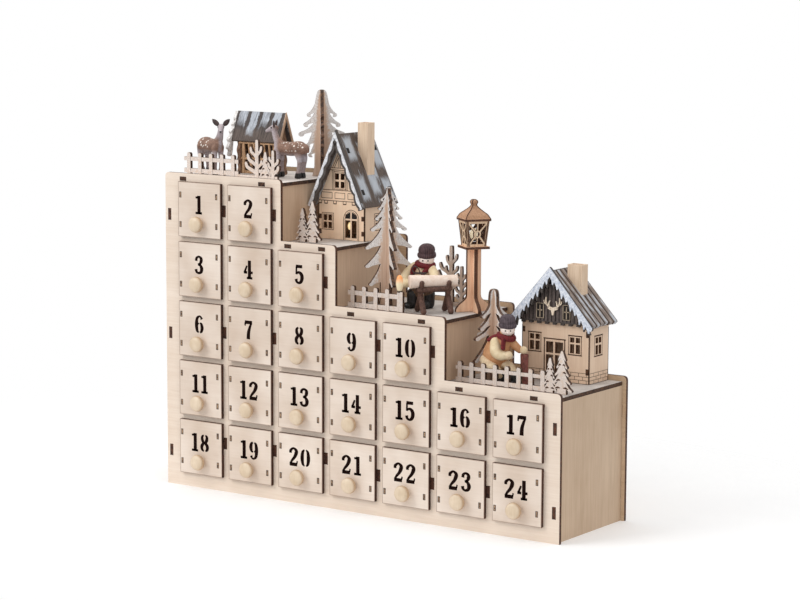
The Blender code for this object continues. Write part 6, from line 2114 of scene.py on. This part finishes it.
# %% Battery box
def moulded(name, dark, light, ribs=None):
    """Fine-grained plastic; ribs gives the spacing of grooves along X, darkened as painted
    shade.
    """
    plastic = Recipe(name)
    px = plastic.axes()[0]
    speckle = plastic.noise(0.7, None, 4.0, 0.7)
    worn = plastic.noise(12.0, None, 3.0)
    shade = (speckle * 0.5 + worn * 0.5).ramp(0.3, 0.7)
    colour = plastic.mix(shade, tint(*dark), tint(*light))
    if ribs:
        # Painted shade: the grooves between the ribs are darkened.
        groove_shade = abs(px.wrap(ribs) - ribs / 2).ramp(ribs * 0.1, ribs * 0.3)
        colour = plastic.mix(1.0 - groove_shade, colour, tint(*[c // 2 for c in dark]))
    return plastic.done(colour, worn * 0.15 + 0.42, speckle, 0.03)


dress(moulded("battery box plastic", (24, 24, 26), (52, 52, 55)), "battery_box")
dress(moulded("switch plastic", (196, 196, 192), (226, 226, 222), 1.2), "power_switch")
LID_Y = 122.2
lid = frame_lines(pen(0.0, 0.0, LID_Y, LID_Y + 0.22), 72.0, 122.0, 66.0, 90.0, 0.5)
lid.append(pen(0.0, 0.0, LID_Y, LID_Y + 0.6)((92.0, 91.4), (102.0, 91.4), width=2.2))
rib_pen = pen(0.0, 0.0, LID_Y, LID_Y + 0.3)
lid += [rib_pen((x, 68.4), (x, 71.4), width=0.7) for x in np.arange(88.0, 107.0, 2.0)]
build("battery_lid_lines", lid, moulded("lid seam plastic", (72, 72, 75), (108, 108, 112)),
      slot="black_plastic")
print("battery box dressed")

# %% [markdown]
# ## Floor, light and background
# The object stands on a plain white table that runs into a white wall. Large soft lamps
# give the even light of a studio, with a stronger one high on the left so that the side
# boards, which face right, fall into a soft shade. The white comes from the colour of the
# floor and of the world, not from extra light.


# %% Lamps
def studio_lamp(name, spot, target, size, power):
    """A square soft lamp at spot that points at target, both in millimetres."""
    light = bpy.data.lights.new(name, "AREA")
    light.shape, light.size, light.energy = "SQUARE", size, power
    lamp = bpy.data.objects.new(name, light)
    lamp.location = at(*spot)
    lamp.rotation_euler = Vector(at(*spot) - at(*target)).to_track_quat("Z", "Y").to_euler()
    bpy.context.scene.collection.objects.link(lamp)


studio_lamp("key lamp", (-440, -860, 1000), (170, 50, 160), 0.8, 8.2)
studio_lamp("fill lamp", (1500, -1100, 900), (200, 50, 120), 1.4, 4.0)
studio_lamp("top lamp", (200, 300, 1700), (200, 50, 120), 1.4, 9.0)
print("three lamps are lit")

# %% [markdown]
# The table fades out with the distance from its middle, away = sqrt(x^2 + 2.2 y^2), so that
# no edge of it shows against the wall.

# %% Table
FADE_FROM, FADE_TO = 250.0, 640.0                 # millimetres
TABLE_HALF = 2.4                                  # metres
corners = [(x * TABLE_HALF, y * TABLE_HALF, 0) for x, y in ((-1, -1), (1, -1), (1, 1), (-1, 1))]
floor_mesh = bpy.data.meshes.new("table")
floor_mesh.from_pydata(corners, [], [(0, 1, 2, 3)])
table = bpy.data.objects.new("table", floor_mesh)
bpy.context.scene.collection.objects.link(table)
top = Recipe("white table")
grain = top.noise(30.0, None, 2.0)
px, py, _ = top.axes()
away = (px * px + py * py * 2.2).maths("SQRT")
floor_mesh.materials.append(top.done(
    top.mix(grain, tint(244, 244, 244), tint(248, 248, 248)), 0.95, grain, 0.02,
    top.mix(grain, tint(255, 255, 255), tint(252, 252, 252)),
    Alpha=1.0 - away.ramp(FADE_FROM, FADE_TO), **{"Emission Strength": 0.1}))
table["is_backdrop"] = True
print("the table is laid")

# %% [markdown]
# What the camera sees of the world directly, in a reflection or through glass is plain
# white; what lights the object is weaker. So the strength of the background is raised from
# one value to the other wherever one of those three rays asks.

# %% World
SKY_LIGHT, SKY_SEEN = 0.62, 1.0
world = bpy.data.worlds.new("studio")
world.use_nodes = True
bpy.context.scene.world = world
sky = world.node_tree
background = sky.nodes["Background"]
background.inputs["Color"].default_value = (1.0, 1.0, 1.0, 1.0)
seen = sky.nodes.new("ShaderNodeLightPath")
either, both = sky.nodes.new("ShaderNodeMath"), sky.nodes.new("ShaderNodeMath")
either.operation = both.operation = "MAXIMUM"
level = sky.nodes.new("ShaderNodeMapRange")
level.inputs["To Min"].default_value = SKY_LIGHT
level.inputs["To Max"].default_value = SKY_SEEN
sky.links.new(seen.outputs["Is Camera Ray"], either.inputs[0])
sky.links.new(seen.outputs["Is Glossy Ray"], either.inputs[1])
sky.links.new(either.outputs[0], both.inputs[0])
sky.links.new(seen.outputs["Is Transmission Ray"], both.inputs[1])
sky.links.new(both.outputs[0], level.inputs["Value"])
sky.links.new(level.outputs["Result"], background.inputs["Strength"])
bpy.context.scene.view_settings.view_transform = "Standard"
print("the world is white")

# %% [markdown]
# ## Measure
# The dressed object's box and the packed model's box are set side by side, and how much the
# dressed object grew is printed. The dressed object must keep the size of the packed model.

# %% Finish
sizes = {"cad": [[float(v) for v in end] for end in cad_box],
         "visual": [[float(v) for v in end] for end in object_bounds()]}
grown = (np.array(sizes["visual"]) - sizes["cad"]) * 1000
print("grew by (mm)", grown.round(2).tolist())
